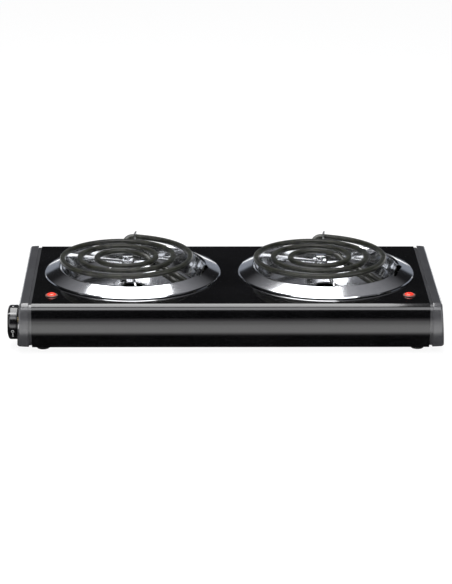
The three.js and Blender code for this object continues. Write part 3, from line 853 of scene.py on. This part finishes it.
@dataclass
class Housing:
    """The bent sheet with its turned-in hems, the base plate, the feet and all their screws."""

    section: Section
    sheet: float = 1.2 * MM
    hem: float = 32 * MM
    hem_bend: float = 2 * MM
    well: float = 93 * MM
    lamp_hole: float = 4.6 * MM
    cord_hole: float = 6.5 * MM
    hem_start: float = 0.4 * MM

    def build(self) -> None:
        """Makes and installs every piece of the housing."""
        self._sheet()
        self._base()
        self._feet()
        self._screws()

    def _sheet(self) -> None:
        """The bent sheet."""
        low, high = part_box("body_shell")
        outer = self.section.line(self.section.skirt + self.hem_bend)
        floor = self.section.skirt
        ends = [(outer[0][0] + self.hem, floor), (outer[0][0] + self.hem_start, floor)]
        other = [(outer[-1][0] - self.hem_start, floor), (outer[-1][0] - self.hem, floor)]
        bend = self.hem_bend * 0.95
        run = rounded_run([*ends, *outer, *other], {1: bend, len(outer) + 2: bend})
        inner = offset_run(run, -self.sheet)
        closed = [*run, *reversed(inner)]
        skin = lofted("housing_sheet", [[Vector((x, y, z)) for y, z in closed] for x in (low.x, high.x)])
        tools = []
        for side in SIDES:
            for part, radius in (("_drip_pan", self.well), ("_lamp_lens", self.lamp_hole)):
                spot = centre_of(side + part)
                stand = stood((spot.x, spot.y, high.z))
                tools.append(pillar("well_tool", radius, -4 * MM, 4 * MM, stand, 128))
        gland = centre_of("cord_gland")
        through = stood((gland.x, high.y, gland.z), -math.pi / 2, "X")
        tools.append(pillar("cord_tool", self.cord_hole, -16 * MM, 6 * MM, through))
        installed(carved(skin, tools), "housing", ENAMEL, "body_shell")

    def _base(self) -> None:
        """The slotted base plate."""
        low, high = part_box("base_plate")
        plate = softened(block("slotted_base", low, high), 0.3 * MM, 2)
        left, right = centre_of("left_drip_pan"), centre_of("right_drip_pan")
        middle = Vector(((left.x + right.x) / 2, (low.y + high.y) / 2, (low.z + high.z) / 2))
        cooling_slot_tree().run(plate, ZINC.material(), Spread=(right.x - left.x) / 2, Middle=middle)
        installed(plate, "housing", ZINC, "base_plate")

    def _feet(self) -> None:
        """The four turned rubber feet, each with a soft foot and a groove, as one piece."""
        names = [n for n in frame["nodes"] if n.startswith("foot_") and "screw" not in n]
        bore, recess, seat = 2.4 * MM, 4.6 * MM, 3.2 * MM
        feet = []
        for name in names:
            low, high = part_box(name)
            middle = (low + high) / 2
            top, radius = high.z, (high.x - low.x) / 2
            profile = [
                (bore, top), (bore, seat), (recess, seat), (recess, 0), (6.4 * MM, 0),
                (7.2 * MM, 0.25 * MM), (7.7 * MM, 0.8 * MM), (radius - 1.2 * MM, top * 0.52),
                (radius - 1.5 * MM, top * 0.58), (radius - 0.8 * MM, top * 0.64),
                (radius - 0.3 * MM, top * 0.86), (radius, top - 0.3 * MM), (radius - 0.3 * MM, top),
            ]
            feet.append(turned("rubber_feet", profile, stood((middle.x, middle.y, 0)), 48))
        installed(merged(feet), "housing", RUBBER, *names)

    def _screws(self) -> None:
        """The foot screws and the stand screws, set out by the fixing tree."""
        for name, word in (("foot_fixings", "foot_screw_"), ("stand_fixings", "_stand_screw")):
            nodes = [n for n in frame["nodes"] if word in n]
            spots = []
            for node in nodes:
                low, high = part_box(node)
                spots.append(Vector(((low.x + high.x) / 2, (low.y + high.y) / 2, low.z)))
            template = self._screw(high.z - low.z)
            points = mesh_object(name, spots)
            fixing_tree().run(points, ZINC.material(), Screw=template)
            bpy.data.objects.remove(template)
            installed(points, "housing", ZINC, *nodes)

    def _screw(self, length: float) -> Piece:
        """A pan-head screw with a cross recess, head down, standing on the origin."""
        head, tall, shank, pitch = 3.9 * MM, 2.2 * MM, 2 * MM, 0.8 * MM
        profile = [
            (0, 0), (head * 0.55, 0), (head * 0.8, 0.25 * MM), (head * 0.95, 0.9 * MM),
            (head, tall - 0.3 * MM), (head, tall), (shank, tall),
        ]
        for i in range(int((length - tall - 2 * MM) / pitch)):
            z = tall + 0.5 * MM + i * pitch
            profile += [(shank * 0.84, z), (shank * 0.84, z + 0.3 * MM), (shank, z + 0.45 * MM)]
        profile += [(shank * 0.8, length - MM), (0, length)]
        screw = turned("screw_template", profile, Matrix(), 24)
        wide, slim, deep = 2.1 * MM, 0.4 * MM, 1.1 * MM
        tools = [
            block("recess_tool", Vector((-a, -b, -MM)), Vector((a, b, deep)))
            for a, b in ((wide, slim), (slim, wide * 1.01))
        ]
        return carved(screw, tools)


def merged(pieces: Sequence[Piece]) -> Piece:
    """Puts several meshes in the first one's object and removes the others."""
    work = bmesh.new()
    for piece in pieces:
        work.from_mesh(piece.data)
    work.to_mesh(pieces[0].data)
    work.free()
    for piece in pieces[1:]:
        bpy.data.objects.remove(piece)
    return finish_mesh(pieces[0], recalculate=False)


@dataclass
class EndCap:
    """A moulded cap with a soft outer edge and a tongue that plugs into the bent sheet."""

    side: str
    section: Section
    proud: float = 0.8 * MM
    round: float = 2.5 * MM
    wall: float = 2.4 * MM
    flare: float = 3 * MM
    tongue: float = 2 * MM
    tongue_depth: float = 7 * MM
    seam: float = 3.5 * MM
    thickness: float = 11 * MM
    sheet: float = 1.2 * MM
    shaft_hole: float = 4.8 * MM
    crown: float = 0.8 * MM
    ease: float = 0.5 * MM
    least_growth: float = 0.12 * MM
    overlap: float = 1.3 * MM
    corner_steps: int = 8

    def __post_init__(self) -> None:
        """Finds which way the cap faces and where the sheet ends."""
        low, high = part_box("body_shell")
        self.way = -1 if self.side == "left" else 1
        self.middle = (low.x + high.x) / 2
        self.sheet_end = (high.x - low.x) / 2

    def _at(self, x: float, y: float, z: float) -> Vector:
        """A point of the cap from its depth past the seam, with the flare towards the foot."""
        fall = (self.section.top - z) / (self.section.top - self.section.skirt)
        reach = self.sheet_end + self.seam + x * (1 + self.flare / self.thickness * fall)
        return Vector((self.middle + self.way * reach, y, z))

    def _outline(self, grown: float) -> list[Point2]:
        """The core outline grown by a distance, with round lower corners."""
        core = offset_run(self.section.line(self.section.skirt + self.round), self.proud - self.round)
        run = offset_run(core, grown)
        back, front = Vector(core[-1]) - Vector(core[-2]), Vector(core[1]) - Vector(core[0])
        low = -math.pi / 2
        turns = (
            (core[-1], math.atan2(back.x, -back.y), low), (core[0], low, math.atan2(front.x, -front.y)),
        )
        corners = []
        for spot, first, last in turns:
            for k in range(self.corner_steps):
                a = first + (last - first) * (k + (first != low)) / self.corner_steps
                corners.append((spot[0] + grown * math.cos(a), spot[1] + grown * math.sin(a)))
        return [*run, *corners]

    def _outer_stations(self) -> list[Point2]:
        """Depth past the seam and growth of the outline, from the seam to the face."""
        run = [(0.0, self.round - self.ease), (self.ease * 0.3, self.round - self.ease * 0.3)]
        run += [(self.ease + i * MM, self.round) for i in range(8)]
        for k in range(13):
            a = math.pi / 2 * k / 12
            depth = self.thickness - self.round + self.round * math.sin(a)
            run.append((depth, self.round * math.cos(a)))
        return [self._crowned(*station) for station in run]

    def _loop(self, depth: float, grown: float) -> Loop:
        """One loop of the cap's skin."""
        return [self._at(depth, y, z) for y, z in self._outline(grown)]

    def _crowned(self, depth: float, grown: float) -> Point2:
        """A station let down by the crown, which grows from the seam to the face."""
        share = max(depth - self.ease, 0.0) / (self.thickness - self.ease)
        return depth, max(grown - self.crown * share * share, self.least_growth)

    def build(self) -> None:
        """Makes the cap and, beside the dial, its index mark."""
        stations = [(self.thickness - self.wall, 0.1 * MM), (0.0, 0.1 * MM), *self._outer_stations()]
        cap = lofted(self.side + "_cap_moulding", [self._loop(*s) for s in stations])
        line = self.section.line(self.section.skirt)
        above = self.section.skirt + self.sheet + 2 * GAP
        top = [p for p in offset_run(line, -self.sheet - GAP) if p[1] > above]
        under = [p for p in offset_run(line, -self.sheet - GAP - self.tongue) if p[1] > above]
        arch = [*top, *reversed(under)]
        reach = (self.sheet_end - self.tongue_depth, self.sheet_end + self.seam + self.overlap)
        loops = [[Vector((self.middle + self.way * x, y, z)) for y, z in arch] for x in reach]
        carved(cap, [lofted("tongue", loops)], "UNION")
        if self.side == "left":
            across = stood(centre_of("dial"), math.pi / 2, "Y")
            carved(cap, [pillar("shaft_tool", self.shaft_hole, -40 * MM, 40 * MM, across)])
            self._index_mark()
        installed(cap, "housing", CAP_MOULDING, self.side + "_end_cap")

    def _index_mark(self) -> None:
        """A short printed line on the soft edge, level with the dial's middle."""
        level = centre_of("dial").z + 6 * MM
        rows = []
        for depth, grown in self._outer_stations()[-9:-3]:
            outline = self._outline(grown)
            front = [p for p in outline[: len(outline) // 2] if p[0] < self.section.middle]
            near = [p for p in front if abs(p[1] - level) < 3 * MM]
            rows.append([self._at(depth, y, z) for y, z in near])
        count = min(len(row) for row in rows)
        outwards = Vector((self.way * 0.7, -0.7, 0)) * 0.04 * MM
        inner = [[p - outwards for p in row[:count]] for row in rows]
        outer = [[p + 2 * outwards for p in row[:count]] for row in rows]
        loops = [[*a, *reversed(b)] for a, b in zip(inner, outer)]
        installed(lofted("cap_index_mark", loops), "housing", PRINT)


# ---- drip pans ----
@dataclass
class DripPan:
    """A drawn pan: sloping flange, rolled lip, bowl, drain and a window for the coil's legs."""

    side: str
    lip: float = 88 * MM
    lip_rise: float = 10.5 * MM
    floor_radius: float = 73 * MM
    drain: float = 12 * MM
    sheet: float = 0.8 * MM
    window: float = 23 * MM
    window_foot: float = 44.9 * MM

    def build(self) -> None:
        """Makes and installs the pan."""
        node = self.side + "_drip_pan"
        low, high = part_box(node)
        middle = centre_of(node)
        top = high.z - self.lip_rise
        rim = (high.x - low.x) / 2
        drop = top - low.z - self.sheet
        skin = [
            (rim - 0.1 * MM, 1.1 * MM), (rim - 0.9 * MM, 2.5 * MM),
            (self.lip + 1.0 * MM, self.lip_rise - 0.1 * MM), (self.lip - 1.6 * MM, self.lip_rise - 1.6 * MM),
            (self.lip - 6 * MM, -6 * MM), (self.floor_radius + 2 * MM, -drop + 0.4 * MM),
            (self.drain + 3 * MM, -drop), (self.drain, -drop - 0.3 * MM),
        ]
        radii = {1: 0.9 * MM, 2: 1.3 * MM, 3: 1.4 * MM, 4: 12 * MM, 5: 6 * MM, 6: 2 * MM}
        line = rounded_run(skin, radii)
        under = offset_run(line, self.sheet)
        stand = stood((middle.x, middle.y, top))
        pan = turned(self.side + "_pan", [*line, *reversed(under)], stand, 160)
        turn = stood((middle.x, middle.y, 0), pivot_of(self.side).angle)
        low_corner = Vector((self.floor_radius - MM, -self.window, self.window_foot))
        high_corner = Vector((self.lip + 3 * MM, self.window, high.z + 2 * MM))
        tool = softened(block("window_tool", low_corner, high_corner, turn), 5 * MM, 6)
        installed(carved(pan, [tool]), "housing", PAN_CHROME, node)


# ---- coils ----
@dataclass(frozen=True)
class Pivot:
    """Where a coil tilts: the hinge's place and the way its legs point."""

    place: Vector
    angle: float
    radius: float


def pivot_of(side: str) -> Pivot:
    """Reads a coil's hinge from the frame's joints."""
    joint = next(j for j in frame["joints"] if j["name"] == side + "_element_tilt")
    place = Vector(joint["pos_m"])
    middle = centre_of(side + "_drip_pan")
    away = Vector((place.x - middle.x, place.y - middle.y))
    return Pivot(place, math.atan2(away.y, away.x), away.length)


@dataclass
class CoilElement:
    """A sheathed tube wound into a spiral, its arms, hub box, end tab and terminal block."""

    side: str
    radius: float = 3.5 * MM
    pressed: float = 0.7 * MM
    outer: float = 87.5 * MM
    pitch: float = 21 * MM
    turns: float = 3.07
    start: float = 82.0
    shift: float = -12.8 * MM
    leg_spread: float = 9 * MM
    tail: float = 10 * MM
    outer_hook: tuple = (
        (-0.016, -18.7, 11.5), (-0.021, -11.5, 8.0), (-0.018, -5.6, 4.3), (-0.011, -1.6, 1.2),
    )
    outer_reach: tuple = ((29, 20, 15), (12, 39, 14.5), (-4, 57, 13.8))
    inner_reach: tuple = ((33.5, -10, 14.6), (25.5, -3.5, 9.2), (18.5, 3.5, 2.6), (12, 9.5, 0))
    trim: dict = field(default_factory=lambda: {
        "coil_support": (ARM_CHROME, 0.35 * MM), "hub_cap": (ARM_CHROME, 0.9 * MM),
        "coil_end_clip": (ZINC, 0.5 * MM), "terminal_block": (STEATITE, 0.8 * MM),
    })

    def __post_init__(self) -> None:
        """Finds the coil's middle, its height and its hinge."""
        self.body = self.side + "_element"
        self.pivot = pivot_of(self.side)
        self.middle = centre_of(self.side + "_drip_pan")
        self.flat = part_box(self.side + "_heating_coil")[1].z
        self.height = self.flat + self.pressed - self.radius

    def _on_spiral(self, turn: float, outwards: float = 0.0, drop: float = 0.0) -> Vector:
        """A point on the spiral, or beside and under it."""
        a = math.radians(self.start - 360 * turn)
        r = self.outer - self.pitch * turn + outwards
        x = self.middle.x + self.shift + r * math.cos(a)
        return Vector((x, self.middle.y + r * math.sin(a), self.height - drop))

    def _from_middle(self, x: float, y: float, drop: float) -> Vector:
        """A point from the pan's middle, in millimetres, under the coil."""
        return Vector((self.middle.x + x * MM, self.middle.y + y * MM, self.height - drop * MM))

    def _leg(self, across: float) -> list[Vector]:
        """One leg, from its tail through the terminal block to under the coil."""
        c, s = math.cos(self.pivot.angle), math.sin(self.pivot.angle)
        low, climb = self.pivot.place.z, self.height - self.pivot.place.z
        run = ((self.tail, 0), (-7 * MM, 0), (-19 * MM, 0), (-33 * MM, 0.07), (-45 * MM, 0.27))
        made = []
        for along, share in run:
            r = self.pivot.radius + along
            x = self.middle.x + r * c - across * s
            made.append(Vector((x, self.middle.y + r * s + across * c, low + climb * share)))
        return made

    def path(self) -> list[Vector]:
        """The tube's centre line, from one leg's tail to the other's."""
        climb = (self.height - self.pivot.place.z) / MM
        points = self._leg(self.leg_spread)
        points.append(self._from_middle(40, 5, climb * 0.56))
        points += [self._from_middle(*p) for p in self.outer_reach]
        points += [self._on_spiral(t, out * MM, drop * MM) for t, out, drop in self.outer_hook]
        steps = round(self.turns * 36)
        points += [self._on_spiral(self.turns * i / steps) for i in range(steps + 1)]
        inner = self._leg(-self.leg_spread) + [self._from_middle(*p) for p in self.inner_reach]
        return smooth_path([*points, *reversed(inner)])

    def build(self) -> None:
        """Makes and installs the tube and its fittings."""
        line = self.path()
        chain = [(i, i + 1) for i in range(len(line) - 1)]
        tube = mesh_object(self.side + "_coil_tube", line, edges=chain)
        swept_tube_tree().run(tube, SHEATH.material(), Radius=self.radius, Flat_Height=self.flat)
        installed(tube, self.body, SHEATH, self.side + "_heating_coil")
        for part, (finish, ease) in self.trim.items():
            node = f"{self.side}_{part}"
            installed(eased_copy(f"{node}_part", node, ease), self.body, finish, node)
        stand = self.side + "_hinge_stand"
        installed(eased_copy(stand + "_part", stand, 0.5 * MM), "housing", ZINC, stand)


# ---- lamps, dial and supply side ----
@dataclass
class IndicatorLamp:
    """A red domed lens in a rosy ring, with a neon bulb under it."""

    side: str
    bore: float = 5.45 * MM
    lens: float = 5.25 * MM
    stem: float = 4.3 * MM
    brim_round: float = 0.3 * MM
    dome_steps: int = 14

    def build(self) -> None:
        """Makes and installs the ring and the lens, and dresses the bulb."""
        low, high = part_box(self.side + "_lamp_bezel")
        middle = (low + high) / 2
        stand = stood((middle.x, middle.y, low.z))
        radius, rise = (high.x - low.x) / 2, high.z - low.z
        ring = [(self.bore, 0), (radius - 0.1 * MM, 0), (radius, 0.15 * MM), (radius, rise * 0.45)]
        ring += [(radius - 0.5 * MM, rise), (self.bore, rise)]
        ring = rounded_run(ring, {3: self.brim_round, 4: self.brim_round}, 4)
        bezel = turned(self.side + "_lamp_ring", ring, stand, 64)
        installed(bezel, "housing", LAMP_RING, self.side + "_lamp_bezel")
        foot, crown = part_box(self.side + "_lamp_lens")
        sunk, dome = foot.z - low.z, crown.z - low.z
        profile = [(0, sunk), (self.stem, sunk), (self.stem, 0), (self.lens, 0), (self.lens, rise)]
        for k in range(1, self.dome_steps + 1):
            a = math.pi / 2 * k / self.dome_steps
            profile.append((self.lens * math.cos(a), rise + (dome - rise) * math.sin(a)))
        glass = turned(self.side + "_lens_dome", profile, stand, 64)
        installed(glass, "housing", RED_LENS, self.side + "_lamp_lens")
        carry_over(self.side + "_neon_lamp", NEON_GLASS)


def carry_over(node: str, finish: Finish) -> None:
    """Keeps a frame node's shape and gives it a finish."""
    mesh = frame["nodes"][node].data
    mesh.materials.clear()
    mesh.materials.append(finish.material())
    log.info("%s kept from the frame, %s", node, finish.name)


@dataclass
class Dial:
    """The control dial: gloss skirt, dished face with a finger bar, and printed marks."""

    round: float = 3.2 * MM
    dish: float = 2.6 * MM
    bar_half: float = 3.1 * MM
    bar_turn: float = math.radians(42)
    round_steps: int = 10

    def __post_init__(self) -> None:
        """Finds the dial's axis and size."""
        self.low, self.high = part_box("dial")
        self.middle = centre_of("dial")
        self.radius = (self.high.y - self.low.y) / 2
        self.thickness = self.high.x - self.low.x
        self.edge = self.thickness - MM - self.round
        self.stand = stood((self.high.x, self.middle.y, self.middle.z), -math.pi / 2, "Y")

    def _skirt_radius(self, depth: float) -> float:
        """The rim's radius at a depth from the back."""
        over = max(depth - self.edge, 0.0) / self.round
        return self.radius - self.round * (1 - math.sqrt(max(1 - over * over, 0.0))) - 0.05 * MM * over

    def build(self) -> None:
        """Makes the dial and its marks."""
        bore, room, deep = 3.15 * MM, 9.5 * MM, 4.6 * MM
        tip = self.thickness - 2.2 * MM
        socket_end = tip - 1.2 * MM
        profile = [
            (0, socket_end), (bore, socket_end), (bore, deep), (room, deep), (room, 0),
            (self.radius - 0.6 * MM, 0), (self.radius - 0.2 * MM, 0.15 * MM), (self.radius, 0.6 * MM),
        ]
        for k in range(self.round_steps + 1):
            depth = self.edge + self.round * math.sin(math.pi / 2 * k / self.round_steps) * 0.99
            profile.append((self._skirt_radius(depth), depth))
        crest, floor = self.radius - 4.4 * MM, self.thickness - self.dish
        profile += [
            (crest, self.thickness - 0.5 * MM), (crest - 0.8 * MM, self.thickness - 0.6 * MM),
            (crest - 2 * MM, floor + 0.9 * MM), (crest - 3.6 * MM, floor), (0, floor + 0.9 * MM),
        ]
        knob = turned("dial_knob", profile, self.stand, 128)
        reach = crest - 1.5 * MM
        turn = self.stand @ Matrix.Rotation(self.bar_turn, 4, "Z")
        low_corner = Vector((-reach, -self.bar_half, tip - 0.9 * MM))
        high_corner = Vector((reach, self.bar_half, self.thickness - 0.01 * MM))
        bar = softened(block("finger_bar", low_corner, high_corner, turn), 0.9 * MM, 5)
        carved(knob, [bar], "UNION")
        installed(knob, "control", DIAL_MOULDING, "dial")
        self._marks()
        shaft = eased_copy("control_shaft", "thermostat_shaft", 0.3 * MM)
        installed(shaft, "control", BRASS, "thermostat_shaft")

    def _on_rim(self, depth: float, arc: float, lift: float) -> Vector:
        """A point over the rim, from its depth and its distance round from the front."""
        angle = math.pi + arc / self.radius
        r = self._skirt_radius(depth) + lift
        y, z = r * math.cos(angle), -r * math.sin(angle)
        return Vector((self.high.x - depth, self.middle.y + y, self.middle.z + z))

    def _patch(self, rows: list[list[Point2]]) -> list[Loop]:
        """The loops of a thin printed patch over the rim, from rows of (depth, arc) points."""
        low, high = -0.03 * MM, 0.05 * MM
        loops = []
        for row in rows:
            under = [self._on_rim(d, a, low) for d, a in row]
            over = [self._on_rim(d, a, high) for d, a in reversed(row)]
            loops.append([*under, *over])
        return loops

    def _marks(self) -> None:
        """A pointer line, a ring, a short bar and two dots."""
        def bar(arc: float, tall: float, start: float, end: float) -> Piece:
            """A bar across the rim."""
            rows = [
                [(start + (end - start) * i / 12, arc + tall * (j / 3 - 0.5)) for j in range(4)]
                for i in range(13)
            ]
            return lofted("mark", self._patch(rows))

        def disc(arc: float, depth: float, outer: float, inner: float) -> Piece:
            """A ring or a dot on the rim."""
            rows = []
            for i in range(24):
                a = 2 * math.pi * i / 24
                c, s = math.cos(a), math.sin(a)
                rows.append([(depth + r * c, arc + r * s) for r in (inner, outer)])
            return lofted("mark", self._patch(rows), capped=False)

        at = math.radians
        middle = self.thickness * 0.45
        marks = [
            bar(at(47.5) * self.radius, 1.7 * MM, 1.6 * MM, 11.0 * MM),
            disc(at(-15.5) * self.radius, middle, 1.9 * MM, 0.95 * MM),
            bar(at(-27) * self.radius, 2.6 * MM, middle - 0.6 * MM, middle + 0.6 * MM),
            disc(at(-37) * self.radius, middle, 1.1 * MM, 0.02 * MM),
            disc(at(81) * self.radius, middle, 1.1 * MM, 0.02 * MM),
        ]
        piece = merged(marks)
        piece.name = "dial_marks"
        installed(piece, "control", PRINT)


@dataclass
class SupplySide:
    """The cord gland and what lies inside: thermostat, nut, connector and leads."""

    neck: float = 6.2 * MM
    bore: float = 3.8 * MM
    flange_depth: float = 2.1 * MM
    inside: tuple = (
        ("thermostat_body", PHENOLIC, 0.6 * MM), ("bush_nut", BRASS, 0.3 * MM),
        ("supply_connector", STEATITE, 0.8 * MM),
    )

    def build(self) -> None:
        """Makes and installs the pieces, and dresses the leads."""
        low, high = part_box("cord_gland")
        middle = centre_of("cord_gland")
        stand = stood((middle.x, low.y, middle.z), -math.pi / 2, "X")
        length, flange = high.y - low.y, (high.x - low.x) / 2
        neck, bore, brim = self.neck, self.bore, length - self.flange_depth
        profile = [(bore + 0.5 * MM, 0), (neck - 0.5 * MM, 0), (neck, 0.6 * MM)]
        for i in range(3):
            z = 2 * MM + i * 2.4 * MM
            groove = neck - 0.7 * MM
            profile += [(neck, z), (groove, z + 0.5 * MM), (groove, z + 1.2 * MM), (neck, z + 1.6 * MM)]
        profile += [
            (neck, brim), (flange - 0.2 * MM, brim), (flange, brim + 0.3 * MM),
            (flange - 0.2 * MM, brim + 1.1 * MM), (flange - MM, length - 0.2 * MM),
            (flange - 1.8 * MM, length), (bore + 1.1 * MM, length), (bore + 0.3 * MM, length - 0.3 * MM),
            (bore, length - 1.2 * MM), (bore, 0.5 * MM),
        ]
        installed(turned("cord_bushing", profile, stand, 64), "housing", CAP_MOULDING, "cord_gland")
        for node, finish, ease in self.inside:
            installed(eased_copy(node + "_part", node, ease), "housing", finish, node)
        for node in frame["nodes"]:
            if node.endswith("_lead"):
                carry_over(node, SLEEVING)


# ---- studio ----
@dataclass
class Studio:
    """The floor, the soft lights and the camera."""

    distance: float = 3.072
    yaw: float = math.radians(0.92)
    elevation: float = math.radians(18.0)
    roll: float = math.radians(0.25)
    lens: float = 155.2
    aim: tuple[float, float, float] = (-4.04 * MM, 0.0, 37.7 * MM)
    # Brightness of the painted reflection strip that the floor shows only to glossy rays.
    painted_strip_strength: float = 2.2
    floor_lift: float = 1.08
    lift_share: float = 0.85
    lights: tuple = (
        # name, place, aim, width, depth, watts, colour
        ("overhead_box", (-0.17, 0.0, 1.45), (-0.17, 0, 0.03), 1.0, 1.7, 32.0, (1.0, 1.0, 1.0)),
        ("front_box", (0.0, -1.35, 1.30), (0, 0, 0.03), 2.6, 0.55, 14.0, (0.97, 0.98, 1.0)),
        ("left_card", (-1.6, -0.9, 0.5), (0, 0, 0.05), 0.9, 0.9, 5.0, (0.95, 0.97, 1.0)),
        ("right_card", (1.6, -0.9, 0.5), (0, 0, 0.05), 0.9, 0.9, 5.0, (0.95, 0.97, 1.0)),
    )

    def build(self) -> None:
        """Sets the camera, the lights, the world and the floor."""
        self._camera()
        for row in self.lights:
            self._light(*row)
        self._world()
        self._floor()

    def _camera(self) -> None:
        """A long lens in front, a little above."""
        low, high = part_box("body_shell")
        middle = Vector(((low.x + high.x) / 2, (low.y + high.y) / 2, 0))
        flat = math.cos(self.elevation)
        ahead = Vector((math.sin(self.yaw) * flat, math.cos(self.yaw) * flat, -math.sin(self.elevation)))
        right = Vector((math.cos(self.yaw), -math.sin(self.yaw), 0))
        up = right.cross(ahead)
        c, s = math.cos(self.roll), math.sin(self.roll)
        axes = Matrix((c * right + s * up, -s * right + c * up, -ahead)).transposed()
        data = bpy.data.cameras.new("studio_camera")
        data.lens = self.lens
        data.sensor_width = 36
        data.clip_end = 50
        camera = added("studio_camera", data)
        place = middle + Vector(self.aim) - ahead * self.distance
        camera.matrix_world = Matrix.Translation(place) @ axes.to_4x4()
        bpy.context.scene.camera = camera

    def _light(self, name: str, place, aim, width: float, depth: float, watts: float, colour) -> None:
        """A rectangular soft light."""
        data = bpy.data.lights.new(name, "AREA")
        data.shape = "RECTANGLE"
        data.size, data.size_y = width, depth
        data.energy = watts
        data.color = colour
        lamp = added(name, data)
        away = Vector(place) - Vector(aim)
        lamp.matrix_world = Matrix.Translation(place) @ away.to_track_quat("Z", "Y").to_matrix().to_4x4()

    def _world(self) -> None:
        """A dim room, a little brighter overhead."""
        world = bpy.data.worlds.new("studio_room")
        world.use_nodes = True
        board = NodeBoard(world.node_tree)
        world.node_tree.nodes.clear()
        ray = board.node("SeparateXYZ", {0: board.node("TexCoord").outputs["Generated"]}).outputs
        tone = board.blended(
            board.ranged(ray[2], 0.45, 1.0), (0.012, 0.012, 0.013, 1), (0.4, 0.4, 0.42, 1),
        )
        band = board.product(board.ranged(ray[2], 0.262, 0.222), board.ranged(ray[1], 0.0, 0.4))
        tone = board.blended(band, tone, (0.25, 0.27, 0.31, 1))
        haze = board.product(board.ranged(ray[2], 0.13, 0.0), board.ranged(ray[1], 0.0, -0.4))
        tone = board.blended(haze, tone, (0.8, 0.78, 0.82, 1))
        light = board.node("Background", {"Color": tone, "Strength": 1.0})
        board.node("OutputWorld", {"Surface": light})
        bpy.context.scene.world = world
        bpy.context.scene.view_settings.view_transform = "Standard"

    def _floor(self) -> None:
        """A pale floor, lifted evenly for the camera, whose image in gloss is painted: a soft painted
        reflection strip around the object, with painted contact shade right next to it.
        """
        reach = 9.0
        corners = [(x * reach, y * reach, 0) for x, y in ((-1, -1), (1, -1), (1, 1), (-1, 1))]
        floor = mesh_object("studio_floor", corners, [(0, 1, 2, 3)])
        made = bpy.data.materials.new("pale_floor")
        made.use_nodes = True
        made.node_tree.nodes.clear()
        board = NodeBoard(made.node_tree)
        place = board.node("TexCoord").outputs["Object"]
        grain = board.noise(place, 40.0, 4.0)
        pale = board.blended(grain, (0.86, 0.86, 0.86, 1), (0.9, 0.9, 0.9, 1))
        matte = board.node("BsdfPrincipled", {
            "Base Color": pale, "Roughness": 0.8, "Specular IOR Level": 0.2,
        })
        low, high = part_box("body_shell")
        y = board.node("SeparateXYZ", {0: place}).outputs[1]
        off = board.maths("ABSOLUTE", board.maths("SUBTRACT", y, (low.y + high.y) / 2))
        near = board.maths("SUBTRACT", off, (high.y - low.y) / 2)
        # Painted contact shade: in gloss the floor stays dark within about 34 mm of the housing and reaches
        # the strip's full brightness by 85 mm.
        start = board.ranged(near, 0.034, 0.085, interpolation_type="SMOOTHSTEP")
        # The painted reflection strip fades to 0.6 of its brightness between 90 mm and 550 mm out.
        end = board.ranged(near, 0.55, 0.09, 0.6, interpolation_type="SMOOTHSTEP")
        painted_strip_level = board.maths("MULTIPLY_ADD", board.product(start, end), self.painted_strip_strength, 0.02)
        path = board.node("LightPath").outputs
        # Painted reflection: an emission that only glossy rays see, with painted shade close to the object.
        painted_reflection = board.node("Emission", {"Color": (1, 1, 1, 1), "Strength": painted_strip_level})
        lift = board.node("Emission", {"Color": (1, 1, 1, 1), "Strength": self.floor_lift})
        share = board.product(path["Is Camera Ray"], self.lift_share)
        seen = board.node("MixShader", {0: share, 1: matte, 2: lift})
        # Glossy rays see the painted reflection strip and its painted contact shade instead of the floor.
        both = board.node("MixShader", {0: path["Is Glossy Ray"], 1: seen, 2: painted_reflection})
        board.node("OutputMaterial", {"Surface": both})
        floor.data.materials.append(made)


def main() -> None:
    """Builds the hot plate and its studio."""
    logging.basicConfig(level=logging.INFO, format="%(message)s")
    Studio().build()
    section = section_of_housing()
    Housing(section).build()
    for side in SIDES:
        EndCap(side, section).build()
        DripPan(side).build()
        CoilElement(side).build()
        IndicatorLamp(side).build()
    Dial().build()
    SupplySide().build()


if __name__ == "__main__":
    main()
